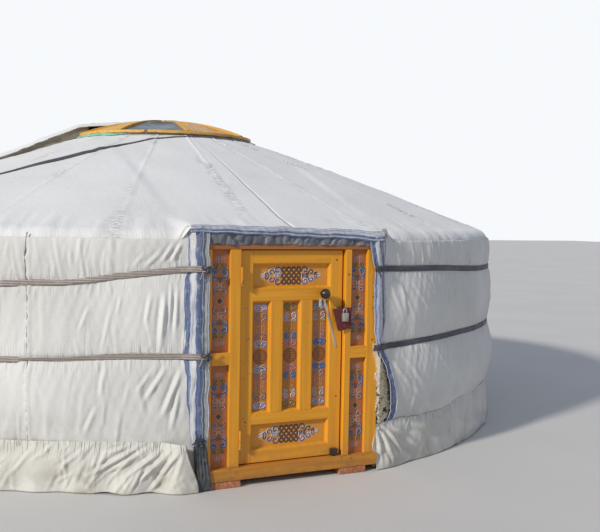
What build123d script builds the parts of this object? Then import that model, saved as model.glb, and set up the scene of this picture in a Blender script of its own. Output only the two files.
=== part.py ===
from build123d import *
import os
from math import asin, atan, ceil, cos, degrees, hypot, radians, sin, tan

# Five-wall felt tent, in millimetres. The origin is on the ground at its middle, the door faces -Y
# and bearings are degrees from the door, growing towards +X.

# Covers
WALL_RADIUS = 3000
CANVAS = 4
WALL_FELT = 35
ROOF_FELT = 30
LAYER_GAP = 0.3
COVER_FLATS = 48
FELT_STRIPS = 16
STRIP_GAP = 2
FELT_LIFT = 5
CANVAS_LIFT = 10

# Roof and shoulder
ROOF_SLOPE = 20.0
SHOULDER_RADIUS = 120
SHOULDER_STEPS = 4

# Lattice wall
PANELS = 18
HEADS_PER_PANEL = 3
LATTICE_ROWS = 6
LATTICE_ANGLE = 60.0
SLAT_WIDTH = 34
SLAT_THICKNESS = 14
SLAT_HEAD = 64
PANEL_GAP = 1

# Roof poles
POLE_RADIUS = 21
POLE_TIP_RADIUS = 16
POLE_OVERHANG = 18
DOOR_POLES = 5
SOCKET_DEPTH = 48
SEAT_GAP = 1.2

# Crown
CROWN_RADIUS = 800
RIM_WIDTH = 110
RIM_HEIGHT = 165
RIM_SHOW = 50
FELLOES = 8
FELLOE_GAP = 0.6
CROWN_RISE = 160
RIB_COUNT = 8
RIB_BEARING = -2
RIB_WIDTH = 46
RIB_DEPTH = 50
RIB_END_SHOW = 8
HUB_RADIUS = 130
HUB_HEIGHT = 60
BATTEN_RADIUS = 360
BATTEN_WIDTH = 40
BATTEN_HEIGHT = 34
GLASS = 5
BOARD = 12
PANE_SECTORS = (0, 7)
SECTOR_DROP = 18

# Columns
COLUMN_WIDTH = 90
COLUMN_CHAMFER = 18
COLUMN_FOOT = 170
FOOT_HEIGHT = 60
CAPITAL_LENGTH = 420
CAPITAL_HEIGHT = 90
CAPITAL_DEPTH = 80

# Door frame
FRAME_SETBACK = 43
FRAME_HALF_WIDTH = 640
FRAME_DEPTH = 100
HEADER_TOP = 1545
HEADER_HEIGHT = 35
HEADER_DEPTH = 140
SILL_BOTTOM = 45
SILL_HEIGHT = 78
SILL_NOSE = 25
OUTER_POST = 89
SIDE_PANEL = 120
HINGE_POST = 72
LOCK_POST = 45
MID_RAIL_BOTTOM = 780
MID_RAIL_HEIGHT = 80
PANEL_RECESS = 28
PANEL_THICKNESS = 14
STOP_WIDTH = 20
STOP_DEPTH = 20
COVER_CLEARANCE = 3

# Door leaf
LEAF_RECESS = 30
LEAF_THICKNESS = 45
HINGE_SIDE_GAP = 6
LOCK_SIDE_GAP = 11
LEAF_TOP_GAP = 6
LEAF_BOTTOM_GAP = 7
STILE = 87
TOP_RAIL = 85
TOP_PANEL = 162
LOCK_RAIL = 79
LOWER_RAIL = 71
BOTTOM_PANEL = 168
BOTTOM_RAIL = 80
MUNTIN = 82
JOINT_GAP = 0.2

# Hinges and fittings
HINGE_FORWARD = 10
HINGE_SIDE = 3
KNUCKLE_RADIUS = 8
PIN_RADIUS = 4
PIN_CLEARANCE = 0.3
HINGE_HEIGHT = 120
HINGE_PLATE = 2.7
HINGE_CENTRES = (297, 1339)
KNOB_RADIUS = 34
KNOB_NECK_RADIUS = 11
KNOB_NECK = 24
KNOB_INSET = 153
KNOB_Z = 1220
STRAP_WIDTH = 14
STRAP_THICKNESS = 3
STRAP_END_INSET = 40
STRAP_END_Z = 853
TAG_WIDTH = 18
TAG_HEIGHT = 55
HASP_WIDTH = 38
HASP_THICKNESS = 3
HASP_FOOT = 45
HASP_Z = 1105
PAD_INSET = 89
PAD_WIDTH = 142
PAD_TOP = 1128
PAD_HEIGHT = 160
PAD_THICKNESS = 10
PAD_CLEARANCE = 5.5
PADLOCK_INSET = 7
PADLOCK_WIDTH = 46
PADLOCK_HEIGHT = 56
PADLOCK_THICKNESS = 22
SHACKLE_RADIUS = 15
SHACKLE_WIRE = 7
BLOCK_INSET = 50
BLOCK_SIZE = 45
BLOCK_DEPTH = 26

# Bricks under the sill
BRICK_LENGTH = 200
BRICK_WIDTH = 105
BRICK_INSET = 287

# Skirt, hems, ropes and flap
SKIRT_HEIGHT = 300
SKIRT_THICKNESS = 8
SKIRT_FLARE = 30
HEM_OUT = 65
HEM_LAP = 70
HEM_THICKNESS = 8
HEM_BOTTOM = 300
HEM_TOP = 1640
HEM_BAND = 58
HEADER_LAP = 5
HOOD_FELT = 10
HOOD_REACH = 300
ROPE_WIDTH = 34
ROPE_THICKNESS = 6
ROPE_CLEARANCE = 0.6
UPPER_ROPE = ((11, 1380), (36, 1300), (90, 1325), (180, 1330))
LOWER_ROPE = ((11, 850), (36, 825), (90, 845), (180, 845))
STRAP_ROUTE = ((-66, 0.936), (-62.4, 0.764), (-54.8, 0.526), (-46.4, 0.371), (-34.7, 0.166), (-24.2, 0.073),
               (-11, 0.025), (5, 0.011), (24, 0.011), (43, 0.011), (62, 0.011), (81, 0.011), (100, 0.011))
STRAP_SPANS = 3
STRAP_LIFT = 5
FLAP_PLAN = ((-1850, 150), (80, -40), (560, 1500), (-1150, 1650))
FLAP_THICKNESS = 8
FLAP_CLEARANCE = 1.9
FLAP_SPRING = 75

# Worked out from the sizes above
FRAME_FRONT = WALL_RADIUS - FRAME_SETBACK
HOOD_BACK = WALL_RADIUS - HOOD_REACH
SLOPE_TAN = tan(radians(ROOF_SLOPE))
SLOPE_COS = cos(radians(ROOF_SLOPE))
FRAME_BACK = FRAME_FRONT - FRAME_DEPTH
COVER_HALF_GAP = FRAME_HALF_WIDTH + COVER_CLEARANCE
LATTICE_RADIUS = WALL_RADIUS - CANVAS - WALL_FELT - 2 * LAYER_GAP
LATTICE_START = degrees(asin(COVER_HALF_GAP / (LATTICE_RADIUS - 3 * SLAT_THICKNESS)))
PANEL_ANGLE = (360 - 2 * LATTICE_START) / PANELS
PANEL_WIDTH = 2 * LATTICE_RADIUS * sin(radians(PANEL_ANGLE / 2))
PANEL_FACE = LATTICE_RADIUS * cos(radians(PANEL_ANGLE / 2)) - LAYER_GAP
PANEL_MIDDLE = PANEL_FACE - SLAT_THICKNESS
HEAD_PITCH = PANEL_WIDTH / HEADS_PER_PANEL
SLAT_TAN = tan(radians(LATTICE_ANGLE))
ROW_RISE = HEAD_PITCH / 2 * SLAT_TAN

POLE_FLAT = POLE_RADIUS * cos(radians(30))
HEAD_OFFSETS = [HEAD_PITCH * (i - (HEADS_PER_PANEL - 1) / 2) for i in range(HEADS_PER_PANEL)]
HEAD_RADIUS = hypot(PANEL_MIDDLE, max(HEAD_OFFSETS))
POLE_END = HEAD_RADIUS + POLE_OVERHANG
POLE_END_Z = HEADER_TOP + SEAT_GAP + POLE_FLAT / SLOPE_COS
HEAD_POLE_Z = POLE_END_Z + (POLE_END - HEAD_RADIUS) * SLOPE_TAN


def head_skew(offset):
    """Sideways drift of a radial pole across half the lattice, at a head this far off its panel's middle."""
    return SLAT_THICKNESS * abs(offset) / PANEL_MIDDLE


def pole_over_crossing(offset):
    """Height of a pole's centre over the slats' crossing when it lies in their V."""
    spread = (POLE_RADIUS + head_skew(offset)) * SLAT_TAN
    edge = SLAT_WIDTH / 2 / cos(radians(LATTICE_ANGLE))
    return SEAT_GAP + spread + edge + SLAT_THICKNESS * SLOPE_TAN


TOP_CROSSING = HEAD_POLE_Z - pole_over_crossing(max(HEAD_OFFSETS))
SLAT_TOP = TOP_CROSSING + SLAT_HEAD

COVER_DEPTH = CANVAS + ROOF_FELT + 2 * LAYER_GAP
POLE_TOP_AT_HEAD = HEAD_POLE_Z + POLE_FLAT / SLOPE_COS
ROOF_CORNER_Z = POLE_TOP_AT_HEAD + COVER_DEPTH / SLOPE_COS - (WALL_RADIUS - HEAD_RADIUS) * SLOPE_TAN
SHOULDER_CENTRE = WALL_RADIUS - SHOULDER_RADIUS
SHOULDER_Z = ROOF_CORNER_Z - SHOULDER_RADIUS * tan(radians((90 - ROOF_SLOPE) / 2))
COVER_INNER = CROWN_RADIUS + LAYER_GAP

PANEL_INNER = FRAME_HALF_WIDTH - OUTER_POST - SIDE_PANEL
OPENING_LEFT = PANEL_INNER - HINGE_POST
OPENING_RIGHT = PANEL_INNER - LOCK_POST
HEADER_BOTTOM = HEADER_TOP - HEADER_HEIGHT
SILL_TOP = SILL_BOTTOM + SILL_HEIGHT
LEAF_LEFT = -OPENING_LEFT + HINGE_SIDE_GAP
LEAF_RIGHT = OPENING_RIGHT - LOCK_SIDE_GAP
LEAF_BOTTOM = SILL_TOP + LEAF_BOTTOM_GAP
LEAF_TOP = HEADER_BOTTOM - LEAF_TOP_GAP
LEAF_FRONT = FRAME_FRONT - LEAF_RECESS
KNOB_X = LEAF_RIGHT - KNOB_INSET
STRAP_END_X = LEAF_RIGHT - STRAP_END_INSET
PAD_LEFT = LEAF_RIGHT - PAD_INSET
PAD_RIGHT = PAD_LEFT + PAD_WIDTH
PADLOCK_X = LEAF_RIGHT - PADLOCK_INSET
BLOCK_X = LEAF_RIGHT - BLOCK_INSET
BRICK_START = FRAME_HALF_WIDTH - BRICK_INSET
HEM_REACH = FRAME_HALF_WIDTH + HEM_OUT
HEM_INNER = FRAME_HALF_WIDTH - HEM_LAP
HINGE_X = LEAF_LEFT - HINGE_SIDE
HINGE_Y = -(FRAME_FRONT + HINGE_FORWARD)


def at(radius, bearing, z=0.0):
    """Point at a radius and a bearing."""
    angle = radians(bearing)
    return Vector(radius * sin(angle), -radius * cos(angle), z)


def tangent(bearing):
    """Level direction along the wall, growing bearings first."""
    angle = radians(bearing)
    return Vector(cos(angle), sin(angle), 0)


def box(x, y, z):
    """Box between two values on each axis."""
    corner = (min(x), min(y), min(z))
    size = (abs(x[1] - x[0]), abs(y[1] - y[0]), abs(z[1] - z[0]))
    return Pos(*corner) * Box(*size, align=(Align.MIN, Align.MIN, Align.MIN))


def facing(x, depth, z):
    """Box given by its x and z limits and by the distances of its faces in front of the middle."""
    return box(x, (-depth[0], -depth[1]), z)


def prism(points, z, plane=Plane.XY):
    """Straight prism on a plane, from an outline of points and two heights."""
    face = make_face(Polyline(*points, close=True))
    return extrude(plane.offset(z[0]) * face, z[1] - z[0])


def flats(radius, z):
    """Level outline of a cover drawn tight over the poles."""
    return Plane.XY.offset(z) * RegularPolygon(radius, COVER_FLATS, major_radius=False)


def flat_corner(radius):
    """Radius of the corners between flats that lie at a radius."""
    return radius / cos(radians(180 / COVER_FLATS))


def under(profile):
    """Everything inside a cover that follows a profile of (radius, height) points."""
    step = 360 / COVER_FLATS
    rings = [[at(flat_corner(radius), i * step, z) for i in range(COVER_FLATS)] for radius, z in profile]
    faces = [Face(Wire.make_polygon(rings[0])), Face(Wire.make_polygon(rings[-1]))]
    for low, high in zip(rings, rings[1:]):
        for i in range(COVER_FLATS):
            faces.append(Face(Wire.make_polygon([low[i - 1], low[i], high[i], high[i - 1]])))
    return Solid(Shell(faces))


def disc(radius, z):
    """Upright many-sided prism between two heights."""
    return extrude(flats(radius, z[0]), z[1] - z[0])


def wedge(start, end, z):
    """Upright slice of plan between two bearings."""
    reach = 2 * WALL_RADIUS
    steps = ceil((end - start) / 45)
    rim = [at(reach, start + (end - start) * i / steps) for i in range(steps + 1)]
    return prism([(0, 0)] + [(p.X, p.Y) for p in rim], z)


def strips(count):
    """Bearings of equal strips round the wall from one side of the door to the other."""
    start = degrees(asin(COVER_HALF_GAP / WALL_RADIUS))
    step = (360 - 2 * start) / count
    slit = degrees(STRIP_GAP / 2 / WALL_RADIUS)
    return [(start + i * step + slit, start + (i + 1) * step - slit) for i in range(count)]


def roof_height(radius, depth=0.0):
    """Height of the roof line, set in by a depth, at a radius inside the shoulder."""
    return ROOF_CORNER_Z - depth / SLOPE_COS + (WALL_RADIUS - radius) * SLOPE_TAN


def roof_profile(depth, inner):
    """Shoulder and roof line, set in by a depth, up to an inner radius."""
    reach = SHOULDER_RADIUS - depth
    turns = [radians((90 - ROOF_SLOPE) * i / SHOULDER_STEPS) for i in range(SHOULDER_STEPS + 1)]
    arc = [(SHOULDER_CENTRE + reach * cos(t), SHOULDER_Z + reach * sin(t)) for t in turns]
    return arc + [(inner, roof_height(inner, depth))]


def roof_shell(outer, inner):
    """Roof cover between two depths, open at the crown."""
    high = roof_height(COVER_INNER) + CROWN_RADIUS
    solid = under(roof_profile(outer, COVER_INNER)) - under(roof_profile(inner, COVER_INNER))
    return solid - disc(COVER_INNER, (SHOULDER_Z, high))


def door_notch():
    """Room left in the roof covers for the door frame's top and the felt over it."""
    half = COVER_HALF_GAP
    return facing((-half, half), (2 * WALL_RADIUS, HOOD_BACK), (0, HOOD_FELT_TOP))


HOOD_FELT_TOP = roof_height(FRAME_FRONT) + LAYER_GAP
RIM_TOP = roof_height(CROWN_RADIUS) + RIM_SHOW
RIM_BOTTOM = RIM_TOP - RIM_HEIGHT
HUB_TOP = RIM_TOP + CROWN_RISE
RIB_END = CROWN_RADIUS - 5
RIB_FALL = CROWN_RISE - RIB_END_SHOW


def rib_top(radius):
    """Height of a rib's top edge at a radius: an arch that falls from the hub to the rim."""
    return HUB_TOP - RIB_FALL * (radius / RIB_END) ** 2


def lattice_panel():
    """One flat stretch of lattice, standing in the XY plane with its outer face at z = 0."""
    half = PANEL_WIDTH / 2
    across = SLAT_WIDTH / 2 / sin(radians(LATTICE_ANGLE))
    frame = Rectangle(2 * half, SLAT_TOP, align=(Align.CENTER, Align.MIN))
    foot_shift = TOP_CROSSING / SLAT_TAN
    head_shift = SLAT_HEAD / SLAT_TAN
    count = ceil(foot_shift / HEAD_PITCH) + HEADS_PER_PANEL
    bars = []
    rim = PANEL_FACE * tan(radians(PANEL_ANGLE / 2)) - PANEL_GAP / 2
    deep = 2 * SLAT_THICKNESS
    narrow = rim - deep * tan(radians(PANEL_ANGLE / 2))
    mitre = prism([(-rim, 0), (rim, 0), (narrow, deep), (-narrow, deep)], (0, SLAT_TOP),
                  Plane(origin=(0, 0, 0), x_dir=(1, 0, 0), z_dir=(0, 1, 0)))
    for lean, floor in ((1, -SLAT_THICKNESS), (-1, -2 * SLAT_THICKNESS)):
        for i in range(-count, count + 1):
            head = HEAD_OFFSETS[0] + i * HEAD_PITCH
            foot_x = head - lean * foot_shift
            top_x = head + lean * head_shift
            outline = [(foot_x - across, 0), (foot_x + across, 0), (top_x + across, SLAT_TOP),
                       (top_x - across, SLAT_TOP)]
            if max(foot_x, top_x) + across < -half or min(foot_x, top_x) - across > half:
                continue
            piece = make_face(Polyline(*outline, close=True)) & frame
            if piece.area > 1:
                bars.append(extrude(Plane.XY.offset(floor) * piece, SLAT_THICKNESS))
    return bars[0].fuse(*bars[1:]) & mitre


def lattice():
    """The flat stretches of lattice from the door round to the door."""
    panel = lattice_panel()
    stretches = []
    for i in range(PANELS):
        bearing = LATTICE_START + (i + 0.5) * PANEL_ANGLE
        plane = Plane(origin=at(PANEL_FACE, bearing), x_dir=tangent(bearing), z_dir=at(1, bearing))
        stretches.append(plane * panel)
    return stretches


def pole_ends():
    """Outer and inner end of each roof pole's centre line, with its bearing, door poles last."""
    crown_z = roof_height(CROWN_RADIUS, COVER_DEPTH) - POLE_FLAT / SLOPE_COS
    poles = []
    for i in range(PANELS):
        for offset in HEAD_OFFSETS:
            bearing = LATTICE_START + (i + 0.5) * PANEL_ANGLE + degrees(atan(offset / PANEL_MIDDLE))
            radius = hypot(PANEL_MIDDLE, offset)
            seat_z = TOP_CROSSING + pole_over_crossing(offset)
            poles.append((bearing, radius, seat_z, crown_z))
    step = (360 - poles[PANELS * HEADS_PER_PANEL - 1][0] + poles[0][0]) / (DOOR_POLES + 1)
    for i in range(DOOR_POLES):
        poles.append((poles[0][0] - (i + 1) * step, POLE_END, POLE_END_Z, crown_z))
    return poles


def pole_line(pole):
    """Outer end, start of the tip at the rim, and unit direction of one pole."""
    bearing, radius, seat_z, crown_z = pole
    rise = (crown_z - seat_z) / (radius - CROWN_RADIUS)
    outer = at(POLE_END, bearing, seat_z + (radius - POLE_END) * rise)
    rim = at(CROWN_RADIUS, bearing, crown_z)
    return outer, rim, (rim - outer).normalized()


def pole(ends):
    """Six-sided pole that thins towards the crown and ends in the rim's socket."""
    outer, rim, along = pole_line(ends)
    tip = rim + along * (SOCKET_DEPTH - 2)
    side = tangent(ends[0])
    foot = Plane(origin=outer, x_dir=side, z_dir=along) * RegularPolygon(POLE_RADIUS, 6)
    head = Plane(origin=tip, x_dir=side, z_dir=along) * RegularPolygon(POLE_TIP_RADIUS, 6)
    upright = Plane(origin=(0, 0, 0), x_dir=at(1, ends[0]), z_dir=-side)
    inside = roof_profile(COVER_DEPTH + SEAT_GAP, 0) + [(0, 0), (WALL_RADIUS, 0)]
    return loft([foot, head], ruled=True) & prism(inside, (-2 * POLE_RADIUS, 2 * POLE_RADIUS), upright)


def socket(ends):
    """Mortise in the rim for one pole's tip."""
    _, rim, along = pole_line(ends)
    wide = 2 * POLE_TIP_RADIUS + 2
    mouth = Plane(origin=rim - along * SOCKET_DEPTH, x_dir=tangent(ends[0]), z_dir=along)
    return extrude(mouth * Rectangle(wide, wide), 2 * SOCKET_DEPTH)


def crown_rim(poles):
    """Felloes of the crown's rim, with a mortise for every pole and joints between mortises."""
    ring = disc(CROWN_RADIUS, (RIM_BOTTOM, RIM_TOP)) - disc(CROWN_RADIUS - RIM_WIDTH, (RIM_BOTTOM, RIM_TOP))
    ring = ring - [socket(p) for p in poles]
    bearings = sorted(p[0] % 360 for p in poles)
    joints = []
    for i in range(FELLOES):
        wanted = RIB_BEARING + 360 / RIB_COUNT * (i + 1.5)
        after = min(range(len(bearings) - 1), key=lambda k: abs((bearings[k] + bearings[k + 1]) / 2 - wanted))
        joints.append((bearings[after] + bearings[after + 1]) / 2)
    slit = degrees(FELLOE_GAP / 2 / CROWN_RADIUS)
    felloes = []
    for i, start in enumerate(joints):
        end = joints[i + 1] if i + 1 < FELLOES else joints[0] + 360
        felloes.append(ring & wedge(start + slit, end - slit, (RIM_BOTTOM - 1, RIM_TOP + 1)))
    return felloes


def crown_ribs():
    """Arched ribs from the hub to the rim, notched over it."""
    start = HUB_RADIUS + JOINT_GAP
    middle = (start + RIB_END) / 2
    top = [(r, rib_top(r)) for r in (start, middle, RIB_END)]
    low = [(r, z - RIB_DEPTH) for r, z in reversed(top)]
    edge = ThreePointArc(*top) + Line(top[-1], low[0]) + ThreePointArc(*low) + Line(low[-1], top[0])
    blank = disc(CROWN_RADIUS, (RIM_BOTTOM, RIM_TOP)) - disc(CROWN_RADIUS - RIM_WIDTH, (RIM_BOTTOM, RIM_TOP))
    ribs = []
    for i in range(RIB_COUNT):
        bearing = RIB_BEARING + 360 / RIB_COUNT * i
        upright = Plane(origin=(0, 0, 0), x_dir=at(1, bearing), z_dir=tangent(bearing) * -1)
        rib = extrude(upright * make_face(edge), RIB_WIDTH / 2, both=True)
        ribs.append(rib - blank)
    return ribs


def hub():
    """Eight-sided block where the ribs meet, a flat for each rib."""
    corner = HUB_RADIUS / cos(radians(180 / RIB_COUNT))
    outline = RegularPolygon(corner, RIB_COUNT)
    turned = Rot(0, 0, -90 + RIB_BEARING + 180 / RIB_COUNT) * outline
    top = rib_top(corner)
    return extrude(Plane.XY.offset(top - HUB_HEIGHT) * turned, HUB_HEIGHT)


def sector_plane(index, radius, z, fall):
    """Plane of one sector between ribs, x along the wall and y up towards the hub."""
    bearing = RIB_BEARING + 360 / RIB_COUNT * (index + 0.5)
    along = tangent(bearing)
    up = (at(-cos(fall), bearing) + Vector(0, 0, sin(fall))).normalized()
    return Plane(origin=at(radius, bearing, z), x_dir=along, z_dir=along.cross(up))


def sector_half_width(distance):
    """Half the clear width between two ribs at a distance from the middle."""
    turn = radians(180 / RIB_COUNT)
    return distance * tan(turn) - (RIB_WIDTH / 2 + JOINT_GAP) / cos(turn)


OUTER_SEAT = (CROWN_RADIUS - RIM_WIDTH / 3) * cos(radians(180 / RIB_COUNT))
INNER_SEAT_Z = rib_top(BATTEN_RADIUS) - SECTOR_DROP
SECTOR_FALL = atan((INNER_SEAT_Z - RIM_TOP) / (OUTER_SEAT - BATTEN_RADIUS))


def sector_cover(index, thickness):
    """Pane or board of one sector, from the rim up to the batten."""
    outer, inner = OUTER_SEAT, BATTEN_RADIUS - BATTEN_WIDTH / 4
    length = (outer - inner) / cos(SECTOR_FALL)
    wide, narrow = sector_half_width(outer), sector_half_width(inner)
    outline = [(-wide, 0), (wide, 0), (narrow, length), (-narrow, length)]
    lift = LAYER_GAP / cos(SECTOR_FALL)
    plane = sector_plane(index, outer, RIM_TOP + lift, SECTOR_FALL)
    return prism(outline, (0, thickness), plane)


def batten(index):
    """Short bar between two ribs that carries the inner edge of a pane or board."""
    inner, outer = BATTEN_RADIUS - BATTEN_WIDTH / 2, BATTEN_RADIUS + BATTEN_WIDTH / 2
    low, high = sector_half_width(inner), sector_half_width(outer)
    bearing = RIB_BEARING + 360 / RIB_COUNT * (index + 0.5)
    level = Plane(origin=(0, 0, 0), x_dir=tangent(bearing), z_dir=(0, 0, 1))
    outline = [(-low, -inner), (low, -inner), (high, -outer), (-high, -outer)]
    blank = prism(outline, (INNER_SEAT_Z - BATTEN_HEIGHT, INNER_SEAT_Z + BATTEN_HEIGHT), level)
    seat = sector_plane(index, OUTER_SEAT, RIM_TOP, SECTOR_FALL)
    above = extrude(seat * Rectangle(3 * CROWN_RADIUS, 3 * CROWN_RADIUS), CROWN_RADIUS)
    return blank - above


def column(side):
    """Column under the crown's rim: shaft, foot block and a capital along the rim."""
    middle = side * (CROWN_RADIUS - RIM_WIDTH / 2)
    capital_bottom = RIM_BOTTOM - LAYER_GAP - CAPITAL_HEIGHT
    shaft_bottom = FOOT_HEIGHT + JOINT_GAP
    shaft = extrude(Plane.XY.offset(shaft_bottom) * Rectangle(COLUMN_WIDTH, COLUMN_WIDTH),
                    capital_bottom - JOINT_GAP - shaft_bottom)
    shaft = chamfer(shaft.edges().filter_by(Axis.Z), COLUMN_CHAMFER)
    foot = box((-COLUMN_FOOT / 2, COLUMN_FOOT / 2), (-COLUMN_FOOT / 2, COLUMN_FOOT / 2), (0, FOOT_HEIGHT))
    half, short = CAPITAL_LENGTH / 2, COLUMN_WIDTH / 2
    side_view = [(-short, 0), (short, 0), (half, CAPITAL_HEIGHT / 2), (half, CAPITAL_HEIGHT),
                 (-half, CAPITAL_HEIGHT), (-half, CAPITAL_HEIGHT / 2)]
    upright = Plane(origin=(0, 0, capital_bottom), x_dir=(0, 1, 0), z_dir=(1, 0, 0))
    capital = prism(side_view, (-CAPITAL_DEPTH / 2, CAPITAL_DEPTH / 2), upright)
    return Compound(children=[Pos(middle, 0, 0) * piece for piece in (shaft, foot, capital)])


def both_sides(make):
    """A piece on each side of the door, from a function of the side's sign."""
    return [make(-1), make(1)]


def door_post(start, end):
    """Post between two places across the door, from sill to header."""
    return facing((start, end), (FRAME_FRONT, FRAME_BACK), (SILL_TOP, HEADER_BOTTOM))


def frame_panels():
    """Recessed panels beside the inner posts, above and below the middle rail."""
    inner, outer = PANEL_INNER, FRAME_HALF_WIDTH - OUTER_POST
    back = FRAME_FRONT - PANEL_RECESS
    panels = []
    for low, high in ((SILL_TOP, MID_RAIL_BOTTOM), (MID_RAIL_BOTTOM + MID_RAIL_HEIGHT, HEADER_BOTTOM)):
        for s in (-1, 1):
            x = (s * (inner + JOINT_GAP), s * (outer - JOINT_GAP))
            panels.append(facing(x, (back, back - PANEL_THICKNESS), (low + JOINT_GAP, high - JOINT_GAP)))
    return panels


def frame_stops():
    """Battens behind the leaf that it shuts towards."""
    front = FRAME_BACK + STOP_DEPTH
    left, right = STOP_WIDTH - OPENING_LEFT, OPENING_RIGHT - STOP_WIDTH
    sides = [facing((-OPENING_LEFT, left), (front, FRAME_BACK), (SILL_TOP, HEADER_BOTTOM)),
             facing((right, OPENING_RIGHT), (front, FRAME_BACK), (SILL_TOP, HEADER_BOTTOM))]
    top = facing((left + JOINT_GAP, right - JOINT_GAP), (front, FRAME_BACK),
                 (HEADER_BOTTOM - STOP_WIDTH, HEADER_BOTTOM))
    return sides + [top]


def leaf_box(x, z, recess=0.0, thickness=LEAF_THICKNESS):
    """Piece of the leaf between x and z limits, at a recess from its front."""
    front = LEAF_FRONT - recess
    return facing(x, (front, front - thickness), z)


LEAF_INNER_LEFT = LEAF_LEFT + STILE
LEAF_INNER_RIGHT = LEAF_RIGHT - STILE
TOP_PANEL_BOTTOM = LEAF_TOP - TOP_RAIL - TOP_PANEL
UPRIGHT_TOP = TOP_PANEL_BOTTOM - LOCK_RAIL
BOTTOM_PANEL_TOP = LEAF_BOTTOM + BOTTOM_RAIL + BOTTOM_PANEL
UPRIGHT_BOTTOM = BOTTOM_PANEL_TOP + LOWER_RAIL
UPRIGHT_WIDTH = (LEAF_INNER_RIGHT - LEAF_INNER_LEFT - 2 * MUNTIN) / 3


def leaf_rails():
    """Four cross rails between the stiles."""
    x = (LEAF_INNER_LEFT + JOINT_GAP, LEAF_INNER_RIGHT - JOINT_GAP)
    heights = ((LEAF_TOP - TOP_RAIL, LEAF_TOP), (UPRIGHT_TOP, TOP_PANEL_BOTTOM),
               (BOTTOM_PANEL_TOP, UPRIGHT_BOTTOM), (LEAF_BOTTOM, LEAF_BOTTOM + BOTTOM_RAIL))
    return [leaf_box(x, z) for z in heights]


def leaf_muntins():
    """Two uprights between the lock rail and the lower rail."""
    lefts = [LEAF_INNER_LEFT + UPRIGHT_WIDTH + i * (UPRIGHT_WIDTH + MUNTIN) for i in range(2)]
    z = (UPRIGHT_BOTTOM + JOINT_GAP, UPRIGHT_TOP - JOINT_GAP)
    return [leaf_box((x, x + MUNTIN), z) for x in lefts]


def leaf_panels():
    """Panels set back in the leaf: one above, three upright and one below."""
    wide = (LEAF_INNER_LEFT, LEAF_INNER_RIGHT)
    openings = [(wide, (TOP_PANEL_BOTTOM, LEAF_TOP - TOP_RAIL)),
                (wide, (LEAF_BOTTOM + BOTTOM_RAIL, BOTTOM_PANEL_TOP))]
    for i in range(3):
        left = LEAF_INNER_LEFT + i * (UPRIGHT_WIDTH + MUNTIN)
        openings.append(((left, left + UPRIGHT_WIDTH), (UPRIGHT_BOTTOM, UPRIGHT_TOP)))
    panels = []
    for x, z in openings:
        snug_x = (x[0] + JOINT_GAP, x[1] - JOINT_GAP)
        snug_z = (z[0] + JOINT_GAP, z[1] - JOINT_GAP)
        panels.append(leaf_box(snug_x, snug_z, PANEL_RECESS, PANEL_THICKNESS))
    return panels


def hinge_halves():
    """The frame's and the leaf's half of both hinges: plates in the gap, knuckles on one pin."""
    third = HINGE_HEIGHT / 3
    barrel = Pos(HINGE_X, HINGE_Y, 0) * Circle(KNUCKLE_RADIUS)
    pin = Pos(HINGE_X, HINGE_Y, 0) * Circle(PIN_RADIUS)
    bore = Pos(HINGE_X, HINGE_Y, 0) * Circle(PIN_RADIUS + PIN_CLEARANCE)
    frame_halves, leaf_halves = [], []
    for centre in HINGE_CENTRES:
        low = centre - HINGE_HEIGHT / 2
        spans = [(low + i * third, low + (i + 1) * third) for i in range(3)]
        fixed_x = (-OPENING_LEFT, -OPENING_LEFT + HINGE_PLATE)
        fixed = facing(fixed_x, (FRAME_FRONT, LEAF_FRONT), (low, low + HINGE_HEIGHT))
        for z0, z1 in (spans[0], spans[2]):
            fixed += facing(fixed_x, (FRAME_FRONT + HINGE_FORWARD, FRAME_FRONT), (z0, z1))
            fixed += extrude(Plane.XY.offset(z0) * barrel, z1 - z0)
        fixed += extrude(Plane.XY.offset(low) * pin, HINGE_HEIGHT)
        z0, z1 = spans[1][0] + PIN_CLEARANCE, spans[1][1] - PIN_CLEARANCE
        moving_x = (LEAF_LEFT - HINGE_PLATE, LEAF_LEFT)
        moving = facing(moving_x, (FRAME_FRONT, LEAF_FRONT - LEAF_THICKNESS / 2), (low, low + HINGE_HEIGHT))
        moving += facing(moving_x, (FRAME_FRONT + HINGE_FORWARD, FRAME_FRONT), (z0, z1))
        moving += extrude(Plane.XY.offset(z0) * barrel, z1 - z0)
        moving -= extrude(Plane.XY.offset(z0) * bore, z1 - z0)
        frame_halves.append(fixed)
        leaf_halves.append(moving)
    return frame_halves, leaf_halves


def leaf_fittings():
    """Ball knob on its neck, and the iron block at the leaf's foot."""
    outward = Plane(origin=(KNOB_X, -LEAF_FRONT, KNOB_Z), x_dir=(1, 0, 0), z_dir=(0, -1, 0))
    neck = extrude(outward * Circle(KNOB_NECK_RADIUS), KNOB_NECK + KNOB_RADIUS / 2)
    ball = Pos(KNOB_X, -(LEAF_FRONT + KNOB_NECK + KNOB_RADIUS), KNOB_Z) * Sphere(KNOB_RADIUS)
    half = BLOCK_SIZE / 2
    block = facing((BLOCK_X - half, BLOCK_X + half), (LEAF_FRONT + BLOCK_DEPTH, LEAF_FRONT),
                   (LEAF_BOTTOM, LEAF_BOTTOM + BLOCK_SIZE))
    return [neck + ball, block]


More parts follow.
